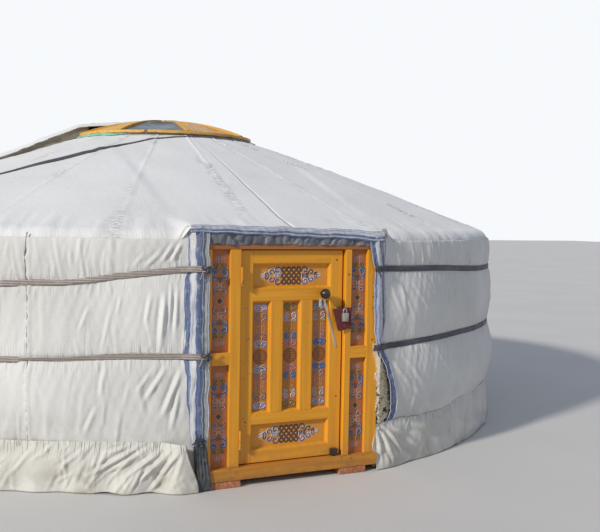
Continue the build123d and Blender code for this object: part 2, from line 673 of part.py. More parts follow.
def strap_and_tag():
    """Strap from the knob's neck down to a nail by the leaf's edge, and the key tag on it."""
    start = Vector(KNOB_X + KNOB_NECK_RADIUS, 0, KNOB_Z - KNOB_NECK_RADIUS)
    end = Vector(STRAP_END_X, 0, STRAP_END_Z)
    along = (end - start).normalized()
    side = Vector(along.Z, 0, -along.X) * (STRAP_WIDTH / 2)
    corners = [start + side, end + side, end - side, start - side]
    front = Plane(origin=(0, -LEAF_FRONT, 0), x_dir=(1, 0, 0), z_dir=(0, -1, 0))
    strap = prism([(c.X, c.Z) for c in corners], (LAYER_GAP, LAYER_GAP + STRAP_THICKNESS), front)
    tag_x = KNOB_X - TAG_WIDTH
    tag_top = KNOB_Z - KNOB_RADIUS - 2
    tag = facing((tag_x, tag_x + TAG_WIDTH), (LEAF_FRONT + LAYER_GAP + STRAP_THICKNESS, LEAF_FRONT + LAYER_GAP),
                 (tag_top - TAG_HEIGHT, tag_top))
    return [strap, tag]


PAD_BACK = FRAME_FRONT + PAD_CLEARANCE
HASP_FRONT = PAD_BACK + HASP_THICKNESS


def hasp():
    """Bent strip from the leaf's edge out over the frame's post, behind the red pad."""
    z = (HASP_Z - HASP_WIDTH / 2, HASP_Z + HASP_WIDTH / 2)
    foot = facing((LEAF_RIGHT - HASP_FOOT, LEAF_RIGHT), (LEAF_FRONT + HASP_THICKNESS, LEAF_FRONT), z)
    riser = facing((LEAF_RIGHT - HASP_THICKNESS, LEAF_RIGHT), (HASP_FRONT, LEAF_FRONT), z)
    arm = facing((LEAF_RIGHT - HASP_THICKNESS, PAD_RIGHT - HASP_THICKNESS), (HASP_FRONT, PAD_BACK), z)
    return foot + riser + arm


def padlock():
    """Padlock body with its bent shackle."""
    front = HASP_FRONT + PAD_THICKNESS + PADLOCK_THICKNESS + 2 * LAYER_GAP
    middle = front - PADLOCK_THICKNESS / 2
    top = HASP_Z - SHACKLE_RADIUS
    half = PADLOCK_WIDTH / 2
    body = facing((PADLOCK_X - half, PADLOCK_X + half), (front, front - PADLOCK_THICKNESS),
                  (top - PADLOCK_HEIGHT, top))
    upright = Plane(origin=(PADLOCK_X, -middle, top), x_dir=(1, 0, 0), z_dir=(0, -1, 0))
    bend = Pos(0, SHACKLE_RADIUS) * (Circle(SHACKLE_RADIUS) - Circle(SHACKLE_RADIUS - SHACKLE_WIRE))
    upper = bend & (Pos(0, 1.5 * SHACKLE_RADIUS) * Rectangle(4 * SHACKLE_RADIUS, SHACKLE_RADIUS))
    legs = [Pos(s * (SHACKLE_RADIUS - SHACKLE_WIRE / 2), SHACKLE_RADIUS / 2) * Rectangle(SHACKLE_WIRE, SHACKLE_RADIUS)
            for s in (-1, 1)]
    shackle = extrude(upright * (upper + legs), SHACKLE_WIRE / 2, both=True)
    return body + shackle


def skirt_ring():
    """Skirt round the foot of the wall, flaring out on the ground."""
    top_outer = WALL_RADIUS + LAYER_GAP + SKIRT_THICKNESS
    outer = under([(top_outer + SKIRT_FLARE, 0), (top_outer, SKIRT_HEIGHT)])
    return outer - disc(WALL_RADIUS + LAYER_GAP, (0, SKIRT_HEIGHT))


def hem_side(side):
    """Blue and white hem that laps from the wall canvas over the outer post."""
    post = FRAME_FRONT + LAYER_GAP + HOOD_FELT
    wall_y = (WALL_RADIUS ** 2 - HEM_REACH ** 2) ** 0.5 + HEM_THICKNESS
    line = [(HEM_INNER, post), (FRAME_HALF_WIDTH, post), (HEM_REACH, wall_y)]
    outer = [(x, y + HEM_THICKNESS) for x, y in reversed(line)]
    return prism([(side * x, -y) for x, y in line + outer], (HEM_BOTTOM, HEM_TOP - HEM_BAND - LAYER_GAP))


def hem_top():
    """Hem across the front of the canvas over the door."""
    front = FRAME_FRONT + LAYER_GAP + HOOD_FELT
    return facing((-HEM_REACH, HEM_REACH), (front + HEM_THICKNESS, front), (HEM_TOP - HEM_BAND, HEM_TOP))


def door_hood():
    """Canvas and padding that run level from the roof out to the top hem."""
    front = FRAME_FRONT + HOOD_FELT
    rise = (roof_height(HOOD_BACK) - HEM_TOP) / (front - HOOD_BACK)
    back = HOOD_BACK - 40
    side_view = [(front, HOOD_FELT_TOP), (front, HEM_TOP), (back, HEM_TOP + (front - back) * rise),
                 (back, HOOD_FELT_TOP)]
    across = Plane(origin=(0, 0, 0), x_dir=(0, 1, 0), z_dir=(1, 0, 0))
    block = prism([(-y, z) for y, z in side_view], (-COVER_HALF_GAP, COVER_HALF_GAP), across)
    return block - under(roof_profile(-LAYER_GAP, HOOD_BACK - 200))


def heights_at(bearing, knots):
    """Rope height at a bearing, from knots listed away from the door on one side."""
    turn = abs((bearing + 180) % 360 - 180)
    for (a0, z0), (a1, z1) in zip(knots, knots[1:]):
        if turn <= a1:
            return z0 + (z1 - z0) * (turn - a0) / (a1 - a0)
    return knots[-1][1]


def girth_rope(knots):
    """Flat rope drawn tight round the wall from hem to hem."""
    step = 360 / COVER_FLATS
    middle = flat_corner(WALL_RADIUS + ROPE_CLEARANCE) + ROPE_THICKNESS / 2
    first = degrees(asin((HEM_REACH + 1) / middle))
    corners = [i * step for i in range(COVER_FLATS) if first + 1 < i * step < 359 - first]
    sections = []
    for bearing in [first] + corners + [360 - first]:
        centre = at(middle, bearing, heights_at(bearing, knots))
        plane = Plane(origin=centre, x_dir=at(1, bearing), z_dir=tangent(bearing))
        sections.append(plane * Rectangle(ROPE_THICKNESS, ROPE_WIDTH))
    spans = [loft(pair, ruled=True) for pair in zip(sections, sections[1:])]
    return spans[0].fuse(*spans[1:])


def flap_strap():
    """Dark strap from the wall up over the roof and along the front of the crown's rim."""
    span = WALL_RADIUS - CROWN_RADIUS
    knots = [(bearing, CROWN_RADIUS + share * span) for bearing, share in STRAP_ROUTE]
    route = []
    for (b0, r0), (b1, r1) in zip(knots, knots[1:]):
        shares = [i / STRAP_SPANS for i in range(STRAP_SPANS)]
        route += [(b0 + (b1 - b0) * s, r0 + (r1 - r0) * s) for s in shares]
    route.append(knots[-1])
    points = [at(r, b, roof_height(r) + STRAP_LIFT / SLOPE_COS) for b, r in route]
    sections = []
    for i, point in enumerate(points):
        before, after = points[max(i - 1, 0)], points[min(i + 1, len(points) - 1)]
        along = (after - before).normalized()
        out = (at(sin(radians(ROOF_SLOPE)), route[i][0]) + Vector(0, 0, SLOPE_COS)).normalized()
        plane = Plane(origin=point, x_dir=out.cross(along), z_dir=along)
        sections.append(plane * Rectangle(ROPE_WIDTH * 0.8, ROPE_THICKNESS))
    return loft(sections, ruled=True)


def crown_flap():
    """Flap folded back over the rear left of the crown and pulled taut down to the roof."""
    lift = FLAP_CLEARANCE
    reach = WALL_RADIUS - 2 * SHOULDER_RADIUS
    rim = CROWN_RADIUS + 8
    ridge = [RIB_END * share for share in (0.25, 0.05)]
    inner = [(reach, roof_height(reach) + lift), (rim, rib_top(RIB_END) + lift + FLAP_SPRING)]
    inner += [(r, rib_top(r) + lift) for r in ridge]
    outer = [(r, z + FLAP_THICKNESS) for r, z in inner]
    shell = under(outer) - under(inner)
    return shell & prism(FLAP_PLAN, (0, 2 * HUB_TOP))


def by_side(pieces, bearings):
    """Sort pieces into the right and left half of the tent by their bearings."""
    halves = {"right": [], "left": []}
    for piece, bearing in zip(pieces, bearings):
        halves["right" if bearing % 360 < 180 else "left"].append(piece)
    return halves


def build():
    """All nodes by name, each a list of solids."""
    nodes = {}
    stretches = lattice()
    for i in range(5):
        first, last = ceil(PANELS * i / 5), ceil(PANELS * (i + 1) / 5)
        nodes[f"lattice_wall_{i + 1}"] = stretches[first:last]

    poles = pole_ends()
    wall_poles = poles[:PANELS * HEADS_PER_PANEL]
    for name, group in by_side([pole(p) for p in wall_poles], [p[0] for p in wall_poles]).items():
        nodes[f"roof_poles_{name}"] = group
    nodes["roof_poles_door"] = [pole(p) for p in poles[PANELS * HEADS_PER_PANEL:]]

    nodes["crown_rim"] = crown_rim(poles)
    nodes["crown_ribs"] = crown_ribs()
    nodes["crown_hub"] = [hub()]
    nodes["crown_battens"] = [batten(i) for i in range(RIB_COUNT)]
    nodes["crown_glass"] = [sector_cover(i, GLASS) for i in PANE_SECTORS]
    boards = [i for i in range(RIB_COUNT) if i not in PANE_SECTORS]
    nodes["crown_boards"] = [sector_cover(i, BOARD) for i in boards]
    nodes["columns"] = both_sides(column)

    arcs = strips(FELT_STRIPS)
    middles = [(a + b) / 2 for a, b in arcs]
    felt_outer = WALL_RADIUS - CANVAS - LAYER_GAP
    ring = disc(felt_outer, (FELT_LIFT, SHOULDER_Z)) - disc(felt_outer - WALL_FELT, (FELT_LIFT, SHOULDER_Z))
    gap = facing((-COVER_HALF_GAP, COVER_HALF_GAP), (2 * WALL_RADIUS, 0), (-1, SHOULDER_Z + 1))
    ring -= gap
    felts = [ring & wedge(a, b, (0, SHOULDER_Z + 1)) for a, b in arcs]
    for name, group in by_side(felts, middles).items():
        nodes[f"wall_felt_{name}"] = group

    notch = door_notch()
    roof = roof_shell(CANVAS + LAYER_GAP, CANVAS + LAYER_GAP + ROOF_FELT) - notch
    slit = degrees(STRIP_GAP / 2 / WALL_RADIUS)
    step = 360 / FELT_STRIPS
    roof_arcs = [(i * step + slit, (i + 1) * step - slit) for i in range(FELT_STRIPS)]
    roof_felts = [roof & wedge(a, b, (0, 2 * HUB_TOP)) for a, b in roof_arcs]
    for name, group in by_side(roof_felts, [(a + b) / 2 for a, b in roof_arcs]).items():
        nodes[f"roof_felt_{name}"] = group

    canvas_top = SHOULDER_Z - LAYER_GAP
    canvas = disc(WALL_RADIUS, (CANVAS_LIFT, canvas_top)) - disc(WALL_RADIUS - CANVAS, (CANVAS_LIFT, canvas_top))
    nodes["wall_canvas"] = [canvas - gap]
    nodes["roof_canvas"] = [roof_shell(0, CANVAS) - notch]

    skirt = skirt_ring() - gap
    skirts = [skirt & wedge(a, b, (-1, SKIRT_HEIGHT + 1)) for a, b in arcs]
    for name, group in by_side(skirts, middles).items():
        nodes[f"skirt_{name}"] = group

    half = FRAME_HALF_WIDTH
    nodes["door_sill"] = [facing((-half, half), (FRAME_FRONT + SILL_NOSE, FRAME_BACK), (SILL_BOTTOM, SILL_TOP))]
    header_back = FRAME_FRONT - HEADER_DEPTH
    nodes["door_header"] = [facing((-half, half), (FRAME_FRONT, header_back), (HEADER_BOTTOM, HEADER_TOP))]
    posts = ((-half, OUTER_POST - half), (-PANEL_INNER, -OPENING_LEFT), (OPENING_RIGHT, PANEL_INNER),
             (half - OUTER_POST, half))
    nodes["door_posts"] = [door_post(start, end) for start, end in posts]
    rail_z = (MID_RAIL_BOTTOM, MID_RAIL_BOTTOM + MID_RAIL_HEIGHT)
    rail_x = (PANEL_INNER + JOINT_GAP, half - OUTER_POST - JOINT_GAP)
    nodes["door_mid_rails"] = both_sides(
        lambda s: facing((s * rail_x[0], s * rail_x[1]), (FRAME_FRONT, FRAME_BACK), rail_z))
    nodes["door_side_panels"] = frame_panels()
    nodes["door_stops"] = frame_stops()
    nodes["sill_bricks"] = both_sides(lambda s: facing(
        (s * BRICK_START, s * (BRICK_START + BRICK_LENGTH)),
        (FRAME_FRONT + SILL_NOSE, FRAME_FRONT + SILL_NOSE - BRICK_WIDTH), (0, SILL_BOTTOM)))

    nodes["leaf_stiles"] = [leaf_box((LEAF_LEFT, LEAF_INNER_LEFT), (LEAF_BOTTOM, LEAF_TOP)),
                            leaf_box((LEAF_INNER_RIGHT, LEAF_RIGHT), (LEAF_BOTTOM, LEAF_TOP))]
    nodes["leaf_rails"] = leaf_rails()
    nodes["leaf_muntins"] = leaf_muntins()
    nodes["leaf_panels"] = leaf_panels()
    nodes["hinge_frame_halves"], nodes["hinge_leaf_halves"] = hinge_halves()
    nodes["leaf_knob_and_block"] = leaf_fittings()
    nodes["leaf_strap_and_tag"] = strap_and_tag()
    nodes["hasp_and_padlock"] = [hasp(), padlock()]
    pad_y = (HASP_FRONT + PAD_THICKNESS + LAYER_GAP, HASP_FRONT + LAYER_GAP)
    nodes["lock_pad"] = [facing((PAD_LEFT, PAD_RIGHT), pad_y, (PAD_TOP - PAD_HEIGHT, PAD_TOP))]

    nodes["door_hem"] = both_sides(hem_side) + [hem_top()]
    hood_y = (FRAME_FRONT + LAYER_GAP + HOOD_FELT, FRAME_FRONT + LAYER_GAP)
    felt_z = (HEADER_TOP - HEADER_LAP, HEM_TOP - HEM_BAND - LAYER_GAP)
    nodes["door_top_felt"] = [facing((-half, half), hood_y, felt_z)]
    nodes["door_hood"] = [door_hood()]
    nodes["girth_ropes"] = [girth_rope(UPPER_ROPE), girth_rope(LOWER_ROPE)]
    nodes["flap_strap"] = [flap_strap()]
    nodes["crown_flap"] = [crown_flap()]
    return nodes


def write(nodes):
    """Write each node's solids to its own file."""
    os.makedirs("parts", exist_ok=True)
    for name, pieces in nodes.items():
        solids = [solid for piece in pieces for solid in piece.solids()]
        shape = solids[0] if len(solids) == 1 else Compound(children=solids)
        export_step(shape, f"parts/{name}.step")
        print(name, len(solids))


write(build())
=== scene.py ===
import bpy, bmesh, math
import numpy as np
from mathutils import Matrix, Vector


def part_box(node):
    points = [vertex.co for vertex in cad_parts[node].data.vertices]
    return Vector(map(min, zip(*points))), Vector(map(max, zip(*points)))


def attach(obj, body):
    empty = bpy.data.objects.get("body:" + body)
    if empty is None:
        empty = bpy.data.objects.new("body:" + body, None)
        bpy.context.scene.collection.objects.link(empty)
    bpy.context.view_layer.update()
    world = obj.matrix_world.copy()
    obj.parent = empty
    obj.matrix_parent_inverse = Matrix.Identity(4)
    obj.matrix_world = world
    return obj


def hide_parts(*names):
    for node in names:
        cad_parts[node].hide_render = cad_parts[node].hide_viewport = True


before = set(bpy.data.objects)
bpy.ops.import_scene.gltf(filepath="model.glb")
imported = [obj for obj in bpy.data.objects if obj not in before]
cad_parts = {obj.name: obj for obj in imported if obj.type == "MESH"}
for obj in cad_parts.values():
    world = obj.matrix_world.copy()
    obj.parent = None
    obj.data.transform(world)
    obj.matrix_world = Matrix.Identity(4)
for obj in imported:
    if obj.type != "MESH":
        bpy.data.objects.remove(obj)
bpy.context.scene.view_settings.view_transform = "Standard"
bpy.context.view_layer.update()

# Metres, on the ground at the middle of the tent. Bearings are degrees from the door, growing towards +X.
WALL_R = 3.0
RIM_R = 0.8
SLOPE = math.radians(20)
SHOULDER = 0.12  # radius of the roof canvas's turn at the eave
SHOULDER_TURN = math.pi / 2 - SLOPE
SHOULDER_ARC = SHOULDER * SHOULDER_TURN
SHOULDER_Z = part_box("wall_canvas")[1].z
CORNER_Z = SHOULDER_Z + SHOULDER * math.tan(SHOULDER_TURN / 2)
ROOF_SLANT = (WALL_R - SHOULDER * math.tan(SHOULDER_TURN / 2) * math.cos(SLOPE) - RIM_R) / math.cos(SLOPE)
POST_FRONT = -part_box("door_posts")[0].y
LEAF_FACE = -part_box("leaf_stiles")[0].y
ROUND = (-9.4, 9.4)  # way round the wall, from behind to behind
DOOR_EDGE = 12.3  # bearing where the wall canvas ends beside the door
PHOTO_EDGE = 48  # bearing up to which the photo shows the wall's folds
ROPE_END = 11.4  # bearing of the girths' ends at the door
HOOD_FRONT, HOOD_REACH = 2.964, 0.30  # over the door the roof's last stretch runs out flatter to a straight edge
CANVAS_THICK = 0.0018
LYING_ABOVE, LYING_BELOW = 1.225, 0.415  # over and under these heights the leaf's panels lie across
GORES = 21
# Bearings of the roof's seams, of the lengths' laps in the wall, and of the wall's visible threads
SEAM_BEARINGS = [-4.9 + 360 / GORES * i for i in range(GORES)]
WALL_LAPS = (-32.1, -62, -92, -122, -152, 38.5, 68, 98, 128, 158)
THREAD_SEAMS = (-32.1, -61, -118, -150, 96, 151)
# Heights of the upper and lower girth and of the skirt's seam, as (bearing, height)
ROPE_UP = ((-180, 1.33), (-90, 1.31), (-36, 1.277), (-28, 1.30), (-21, 1.342), (-13, 1.388),
           (12, 1.384), (23, 1.37), (42, 1.332), (90, 1.32), (180, 1.33))
ROPE_LOW = ((-180, 0.845), (-90, 0.835), (-36, 0.812), (-29, 0.821), (-20, 0.848), (-12, 0.845),
            (12, 0.844), (21, 0.855), (32, 0.865), (44, 0.857), (90, 0.845), (180, 0.845))
SKIRT_SEAM = ((-180, 0.31), (-36, 0.298), (-23, 0.310), (-13, 0.297), (12, 0.30), (17, 0.315), (21, 0.30),
              (27, 0.302), (33, 0.345), (45, 0.34), (90, 0.31), (180, 0.31))


# ---- Helpers for shapes

def along_knots(bearing, knots):
    """Value at each bearing, read between knots of (bearing, value)."""
    b, v = zip(*knots)
    return np.interp(bearing, b, v)


def smooth(x):
    """0 to 1 with soft ends."""
    x = np.clip(x, 0, 1)
    return x * x * (3 - 2 * x)


def ripples(seed, s, t, count, low, high, slant=1.0):
    """Soft random swell over a cloth's own coordinates, from waves between two lengths; about -1 to 1."""
    rng = np.random.default_rng(seed)
    total = np.zeros(np.broadcast(s, t).shape)
    for _ in range(count):
        length = math.exp(rng.uniform(math.log(low), math.log(high)))
        turn = rng.uniform(-math.pi / 2, math.pi / 2) * slant
        k = 2 * math.pi / length
        total += np.sin(k * (s * math.cos(turn) + t * math.sin(turn)) + rng.uniform(0, 2 * math.pi))
    return total / math.sqrt(count)


def creases(s, t, table):
    """Height of folds drawn as short lines (s0, t0, s1, t1, width, depth): a ridge with a valley beside it."""
    total = np.zeros(s.shape)
    for s0, t0, s1, t1, width, depth in table:
        ds, dt = s1 - s0, t1 - t0
        length = math.hypot(ds, dt)
        us, ut = ds / length, dt / length
        reach = length / 2 + 5 * width
        near = (np.abs(s - (s0 + s1) / 2) < reach) & (np.abs(t - (t0 + t1) / 2) < reach)
        if not near.any():
            continue
        a = (s[near] - s0) * us + (t[near] - t0) * ut
        c = (s[near] - s0) * ut - (t[near] - t0) * us
        taper = smooth(1.25 - np.abs(2 * a / length - 1) * 1.25)
        fold = np.exp(-(c / width) ** 2) - 0.6 * np.exp(-((c - 1.7 * width) / (0.8 * width)) ** 2)
        total[near] += depth * taper * fold
    return total


def scattered(seed, count, s_range, t_range, lean, lengths, widths, depths):
    """Random folds for creases(), each leaning from upright by up to an angle, or between two, in degrees."""
    rng = np.random.default_rng(seed)
    least, most = lean if isinstance(lean, tuple) else (-lean, lean)
    table = []
    for _ in range(count):
        s0, t0 = rng.uniform(*s_range), rng.uniform(*t_range)
        turn = math.radians(rng.uniform(least, most))
        half = rng.uniform(*lengths) / 2
        ds, dt = half * math.sin(turn), half * math.cos(turn)
        flip = rng.choice((-1, 1))
        table.append((s0 - flip * ds, t0 - flip * dt, s0 + flip * ds, t0 + flip * dt,
                      rng.uniform(*widths), rng.uniform(*depths)))
    return table


def drawn(lines):
    """Folds given by their ends as (bearing, height), turned into wall distances for creases()."""
    k = math.radians(1) * WALL_R
    return [(b0 * k, z0, b1 * k, z1, w, d) for (b0, z0), (b1, z1), w, d in lines]


def cloth_mesh(name, points, uvs, thickness, flip=False, pull=None):
    """Sheet from a grid of points, thickened inwards, with its cut as the UV map in metres.

    pull, from 0 to 1 at each point, tells the canvas's finish where to crease.
    """
    rows, cols = points.shape[:2]
    index = np.arange(rows * cols).reshape(rows, cols)
    quads = np.stack([index[:-1, :-1], index[:-1, 1:], index[1:, 1:], index[1:, :-1]], -1).reshape(-1, 4)
    if flip:
        quads = quads[:, ::-1]
    mesh = bpy.data.meshes.new(name)
    mesh.from_pydata(points.reshape(-1, 3).tolist(), [], quads.tolist())
    layer = mesh.uv_layers.new(name="cut")
    layer.data.foreach_set("uv", uvs.reshape(-1, 2)[quads.ravel()].ravel().astype(np.float32))
    if pull is not None:
        mesh.attributes.new("pull", "FLOAT", "POINT").data.foreach_set("value", pull.ravel().astype(np.float32))
    mesh.shade_smooth()
    piece = bpy.data.objects.new(name, mesh)
    bpy.context.scene.collection.objects.link(piece)
    if thickness:
        solid = piece.modifiers.new("thickness", "SOLIDIFY")
        solid.thickness, solid.offset = thickness, -1
    return piece


def settle(piece):
    """The piece with its modifiers applied."""
    depsgraph = bpy.context.evaluated_depsgraph_get()
    mesh = bpy.data.meshes.new_from_object(piece.evaluated_get(depsgraph))
    old = piece.data
    piece.modifiers.clear()
    piece.data = mesh
    if old.users == 0:
        bpy.data.meshes.remove(old)
    return piece


def declare(piece, node=None, body="base"):
    """Puts a piece on its body, standing for one CAD node, several or none."""
    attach(piece, body)
    if node:
        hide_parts(*([node] if isinstance(node, str) else node))


def settled_cloth(name, points, uv, thickness, finish, node, flip=False, lining=None, body="base", pull=None):
    """Cloth from a grid, thickened, dressed and declared; with a lining, the finish is that of its outside."""
    piece = cloth_mesh(name, points, uv, thickness, flip, pull)
    if lining:
        solid = piece.modifiers["thickness"]
        solid.material_offset, solid.material_offset_rim = 1, 0
        piece.data.materials.append(finish)
        piece.data.materials.append(lining)
    settle(piece)
    if not lining:
        piece.data.materials.clear()
        piece.data.materials.append(finish)
    declare(piece, node, body)
    return piece


def round_points(radius, bearing, z):
    """Points at a radius, a bearing and a height."""
    a = np.radians(bearing)
    return np.stack([radius * np.sin(a), -radius * np.cos(a), z], -1)


def new_piece(name, verts, faces, finish):
    """Piece from points and faces, in one finish."""
    mesh = bpy.data.meshes.new(name)
    mesh.from_pydata([tuple(v) for v in verts], [], faces)
    piece = bpy.data.objects.new(name, mesh)
    bpy.context.scene.collection.objects.link(piece)
    mesh.materials.append(finish)
    return piece


# ---- Finishes

class Finish:
    """A procedural material, built step by step around one Principled shader.

    Noise lies on the object's coordinates, or on the cloth's own cut with use_cut; axis() reads the object's.
    """

    def __init__(self, name, rough=0.6, metal=0.0, sheen=0.0, use_cut=False):
        self.material = bpy.data.materials.new(name)
        self.material.use_nodes = True
        self.tree = self.material.node_tree
        self.tree.nodes.clear()
        self.shader = self.add("ShaderNodeBsdfPrincipled")
        out = self.add("ShaderNodeOutputMaterial")
        self.link(self.shader.outputs[0], out.inputs[0])
        self.set("Roughness", rough)
        self.set("Metallic", metal)
        if sheen:
            self.set("Sheen Weight", sheen)
            self.set("Sheen Roughness", 0.5)
        place = self.add("ShaderNodeTexCoord")
        self.place = place.outputs["UV" if use_cut else "Object"]
        self.where = place.outputs["Object"]

    def add(self, kind):
        """A new node."""
        return self.tree.nodes.new(kind)

    def link(self, a, b):
        """Output a joined to input b."""
        self.tree.links.new(a, b)

    def set(self, socket, value):
        """A plain value for one of the shader's inputs."""
        self.shader.inputs[socket].default_value = value

    def noise(self, scale, detail=3.0, stretch=(1, 1, 1), warp=0.0):
        """Noise around 0.5, finer along an axis by its stretch."""
        spread = self.add("ShaderNodeMapping")
        spread.inputs["Scale"].default_value = stretch
        self.link(self.place, spread.inputs["Vector"])
        node = self.add("ShaderNodeTexNoise")
        node.inputs["Scale"].default_value = scale
        node.inputs["Detail"].default_value = detail
        node.inputs["Distortion"].default_value = warp
        self.link(spread.outputs[0], node.inputs["Vector"])
        return node.outputs["Fac"]

    def patches(self, scale, detail, low, high, share=1.0, stretch=(1, 1, 1), warp=0.0):
        """0 to a share, where the noise passes from low to high."""
        return self.span(self.noise(scale, detail, stretch, warp), low, high, 0.0, share)

    def axis(self, which, source=None):
        """Place along x, y or z (0, 1, 2) in metres."""
        node = self.add("ShaderNodeSeparateXYZ")
        self.link(source or self.where, node.inputs[0])
        return node.outputs[which]

    def math(self, how, a, b=0.0, clamp=False):
        """Two values or outputs put together."""
        node = self.add("ShaderNodeMath")
        node.operation, node.use_clamp = how, clamp
        for i, value in enumerate((a, b)):
            if isinstance(value, (int, float)):
                node.inputs[i].default_value = value
            else:
                self.link(value, node.inputs[i])
        return node.outputs[0]

    def span(self, value, low, high, out_low=0.0, out_high=1.0):
        """A value's run from low to high, laid on another run and held within it."""
        node = self.add("ShaderNodeMapRange")
        self.link(value, node.inputs["Value"])
        for key, number in zip(("From Min", "From Max", "To Min", "To Max"), (low, high, out_low, out_high)):
            node.inputs[key].default_value = number
        return node.outputs[0]

    def mix(self, share, a, b):
        """Colour a with a share of colour b laid over it."""
        node = self.add("ShaderNodeMix")
        node.data_type = "RGBA"
        for i, value in ((0, share), (6, a), (7, b)):
            if isinstance(value, (int, float)):
                node.inputs[i].default_value = value
            elif isinstance(value, tuple):
                node.inputs[i].default_value = (*value, 1)
            else:
                self.link(value, node.inputs[i])
        return node.outputs[2]

    def attribute(self, name):
        """Value kept at the mesh's points."""
        node = self.add("ShaderNodeAttribute")
        node.attribute_name = name
        return node.outputs["Fac"]

    def creased(self, stretch, width, warp=0.5):
        """1 along sharp wandering creases, falling to 0 beside them."""
        wave = self.noise(1.0, 2, stretch, warp=warp)
        return self.span(self.math("ABSOLUTE", self.math("SUBTRACT", wave, 0.5)), width, 0.0)

    def bump(self, height, distance, strength, under=None):
        """Relief of a height in metres, over another relief where one is given."""
        node = self.add("ShaderNodeBump")
        node.inputs["Strength"].default_value = strength
        node.inputs["Distance"].default_value = distance
        self.link(height, node.inputs["Height"])
        if under:
            self.link(under, node.inputs["Normal"])
        return node.outputs[0]

    def done(self, colour, normal=None, rough=None):
        """The material, with its colour, relief and roughness joined up."""
        self.link(colour, self.shader.inputs["Base Color"])
        if normal:
            self.link(normal, self.shader.inputs["Normal"])
        if rough:
            self.link(rough, self.shader.inputs["Roughness"])
        return self.material


def mottled(name, patch, one, other, grain=None, **look):
    """Finish in two tones after patches(), with a grain of (noise, depth, strength)."""
    f = Finish(name, **look)
    tone = f.mix(f.patches(*patch), one, other)
    return f.done(tone, f.bump(f.noise(*grain[0]), *grain[1:]) if grain else None)


def canvas_finish(name, clean, worn, dirt, dirt_top, crease, eave=None):
    """Cotton canvas: weave, fine creases where it is pulled and darkened in their valleys as painted shade, run marks
    and dirt that thickens to the ground.
    """
    f = Finish(name, rough=0.9, sheen=0.15, use_cut=True)
    tone = f.mix(f.patches(1.3, 5, 0.35, 0.7), clean, worn)
    runs = f.noise(3.0, 4, (9, 0.7, 1))
    tone = f.mix(f.span(runs, 0.55, 0.8, 0, 0.22), tone, worn)
    low = f.span(f.axis(2), dirt_top, 0.0)
    spots = f.noise(7, 8, warp=0.6)
    share = f.math("MULTIPLY", f.span(spots, 0.42, 0.72), low, clamp=True)
    tone = f.mix(f.math("MULTIPLY", share, 0.75), tone, dirt)
    flecks = f.math("MULTIPLY", f.patches(38, 3, 0.70, 0.78, 0.3), low, clamp=True)
    tone = f.mix(flecks, tone, dirt)
    share = f.math("MAXIMUM", f.attribute("pull"), f.patches(1.9, 3, 0.56, 0.80, 0.35))
    valley = f.math("MULTIPLY", f.creased(crease, 0.05), share)
    if eave:
        near = f.span(f.axis(2), eave + 0.10, eave - 0.04, 0, 0.22)
        valley = f.math("MAXIMUM", valley, f.math("MULTIPLY", f.creased((26, 2.5, 1), 0.05, 0.2), near))
    # Painted shade: the crease valleys, the eave's too, are darkened in colour.
    tone = f.mix(f.math("MULTIPLY", valley, 0.22), tone, tuple(0.62 * c for c in worn))
    weave = f.math("ADD", f.noise(1, 0, (420, 60, 1)), f.noise(1, 0, (60, 420, 1)))
    normal = f.bump(f.noise(16, 5, warp=0.8), 0.006, 0.5)
    normal = f.bump(f.math("SUBTRACT", 1.0, valley), 0.007, 0.9, normal)
    return f.done(tone, f.bump(weave, 0.0008, 0.5, normal))


def paint_finish(name, light, dark, grain, wear=(0.30, 0.20, 0.10), rough=0.42, dirt_top=0.0, chips=0.66,
                 foot=None, ends=None):
    """Oil paint brushed on wood: brush marks, fading, chips, grime, a darker foot and lying panels of another tone."""
    f = Finish(name, rough=rough)
    across = {"x": (1.5, 45, 45), "z": (45, 45, 1.5)}[grain]
    brush = f.noise(1.0, 6, across)
    tone = f.mix(f.span(brush, 0.3, 0.7), dark, light)
    tone = f.mix(f.patches(2.1, 4, 0.42, 0.75, 0.45), tone, dark)
    if foot:
        edge = f.math("ADD", f.axis(2), f.math("MULTIPLY", f.noise(12, 3), 0.02))
        tone = f.mix(f.span(edge, foot[0] + 0.012, foot[0] + 0.008), tone, foot[1])
    # With the leaf's panels this lighter tone lies over the painted shade of the upright panels.
    if ends:
        lying = f.math("ADD", f.span(f.axis(2), LYING_ABOVE, LYING_ABOVE + 0.003),
                       f.span(f.axis(2), LYING_BELOW, LYING_BELOW - 0.003), clamp=True)
        tone = f.mix(lying, tone, ends)
    bare = f.math("MULTIPLY", f.span(f.noise(26, 6, warp=1.0), chips, chips + 0.04), f.patches(3, 2, 0.45, 0.6),
                  clamp=True)
    tone = f.mix(bare, tone, wear)
    if dirt_top:
        low = f.math("MULTIPLY", f.span(f.axis(2), dirt_top, 0.0), f.patches(20, 6, 0.3, 0.7), clamp=True)
        tone = f.mix(f.math("MULTIPLY", low, 0.8), tone, wear)
    normal = f.bump(brush, 0.0012, 0.5)
    return f.done(tone, normal, f.span(brush, 0.2, 0.8, rough - 0.08, rough + 0.18))


def tape_finish(name, dark, light):
    """Woven tape: two tones in stripes along it and ribs across it."""
    f = Finish(name, rough=0.85, sheen=0.1)
    tone = f.mix(f.patches(1.0, 1, 0.3, 0.7, stretch=(300, 0.3, 1)), dark, light)
    tone = f.mix(f.patches(9, 4, 0.5, 0.8, 0.5), tone, dark)
    return f.done(tone, f.bump(f.noise(1.0, 0, (1, 260, 1)), 0.002, 0.6))


EARTH = (0.30, 0.25, 0.19)
canvas = canvas_finish("canvas_cloth", (0.70, 0.70, 0.675), (0.60, 0.595, 0.565), EARTH, 0.55, (19, 1.9, 1))
roof_cloth = canvas_finish("roof_cloth", (0.77, 0.77, 0.765), (0.70, 0.70, 0.685), EARTH, 0.1, (7, 30, 1), 1.60)
skirt_cloth = canvas_finish("skirt_cloth", (0.67, 0.66, 0.615), (0.61, 0.60, 0.545), EARTH, 0.30, (24, 3.5, 1))


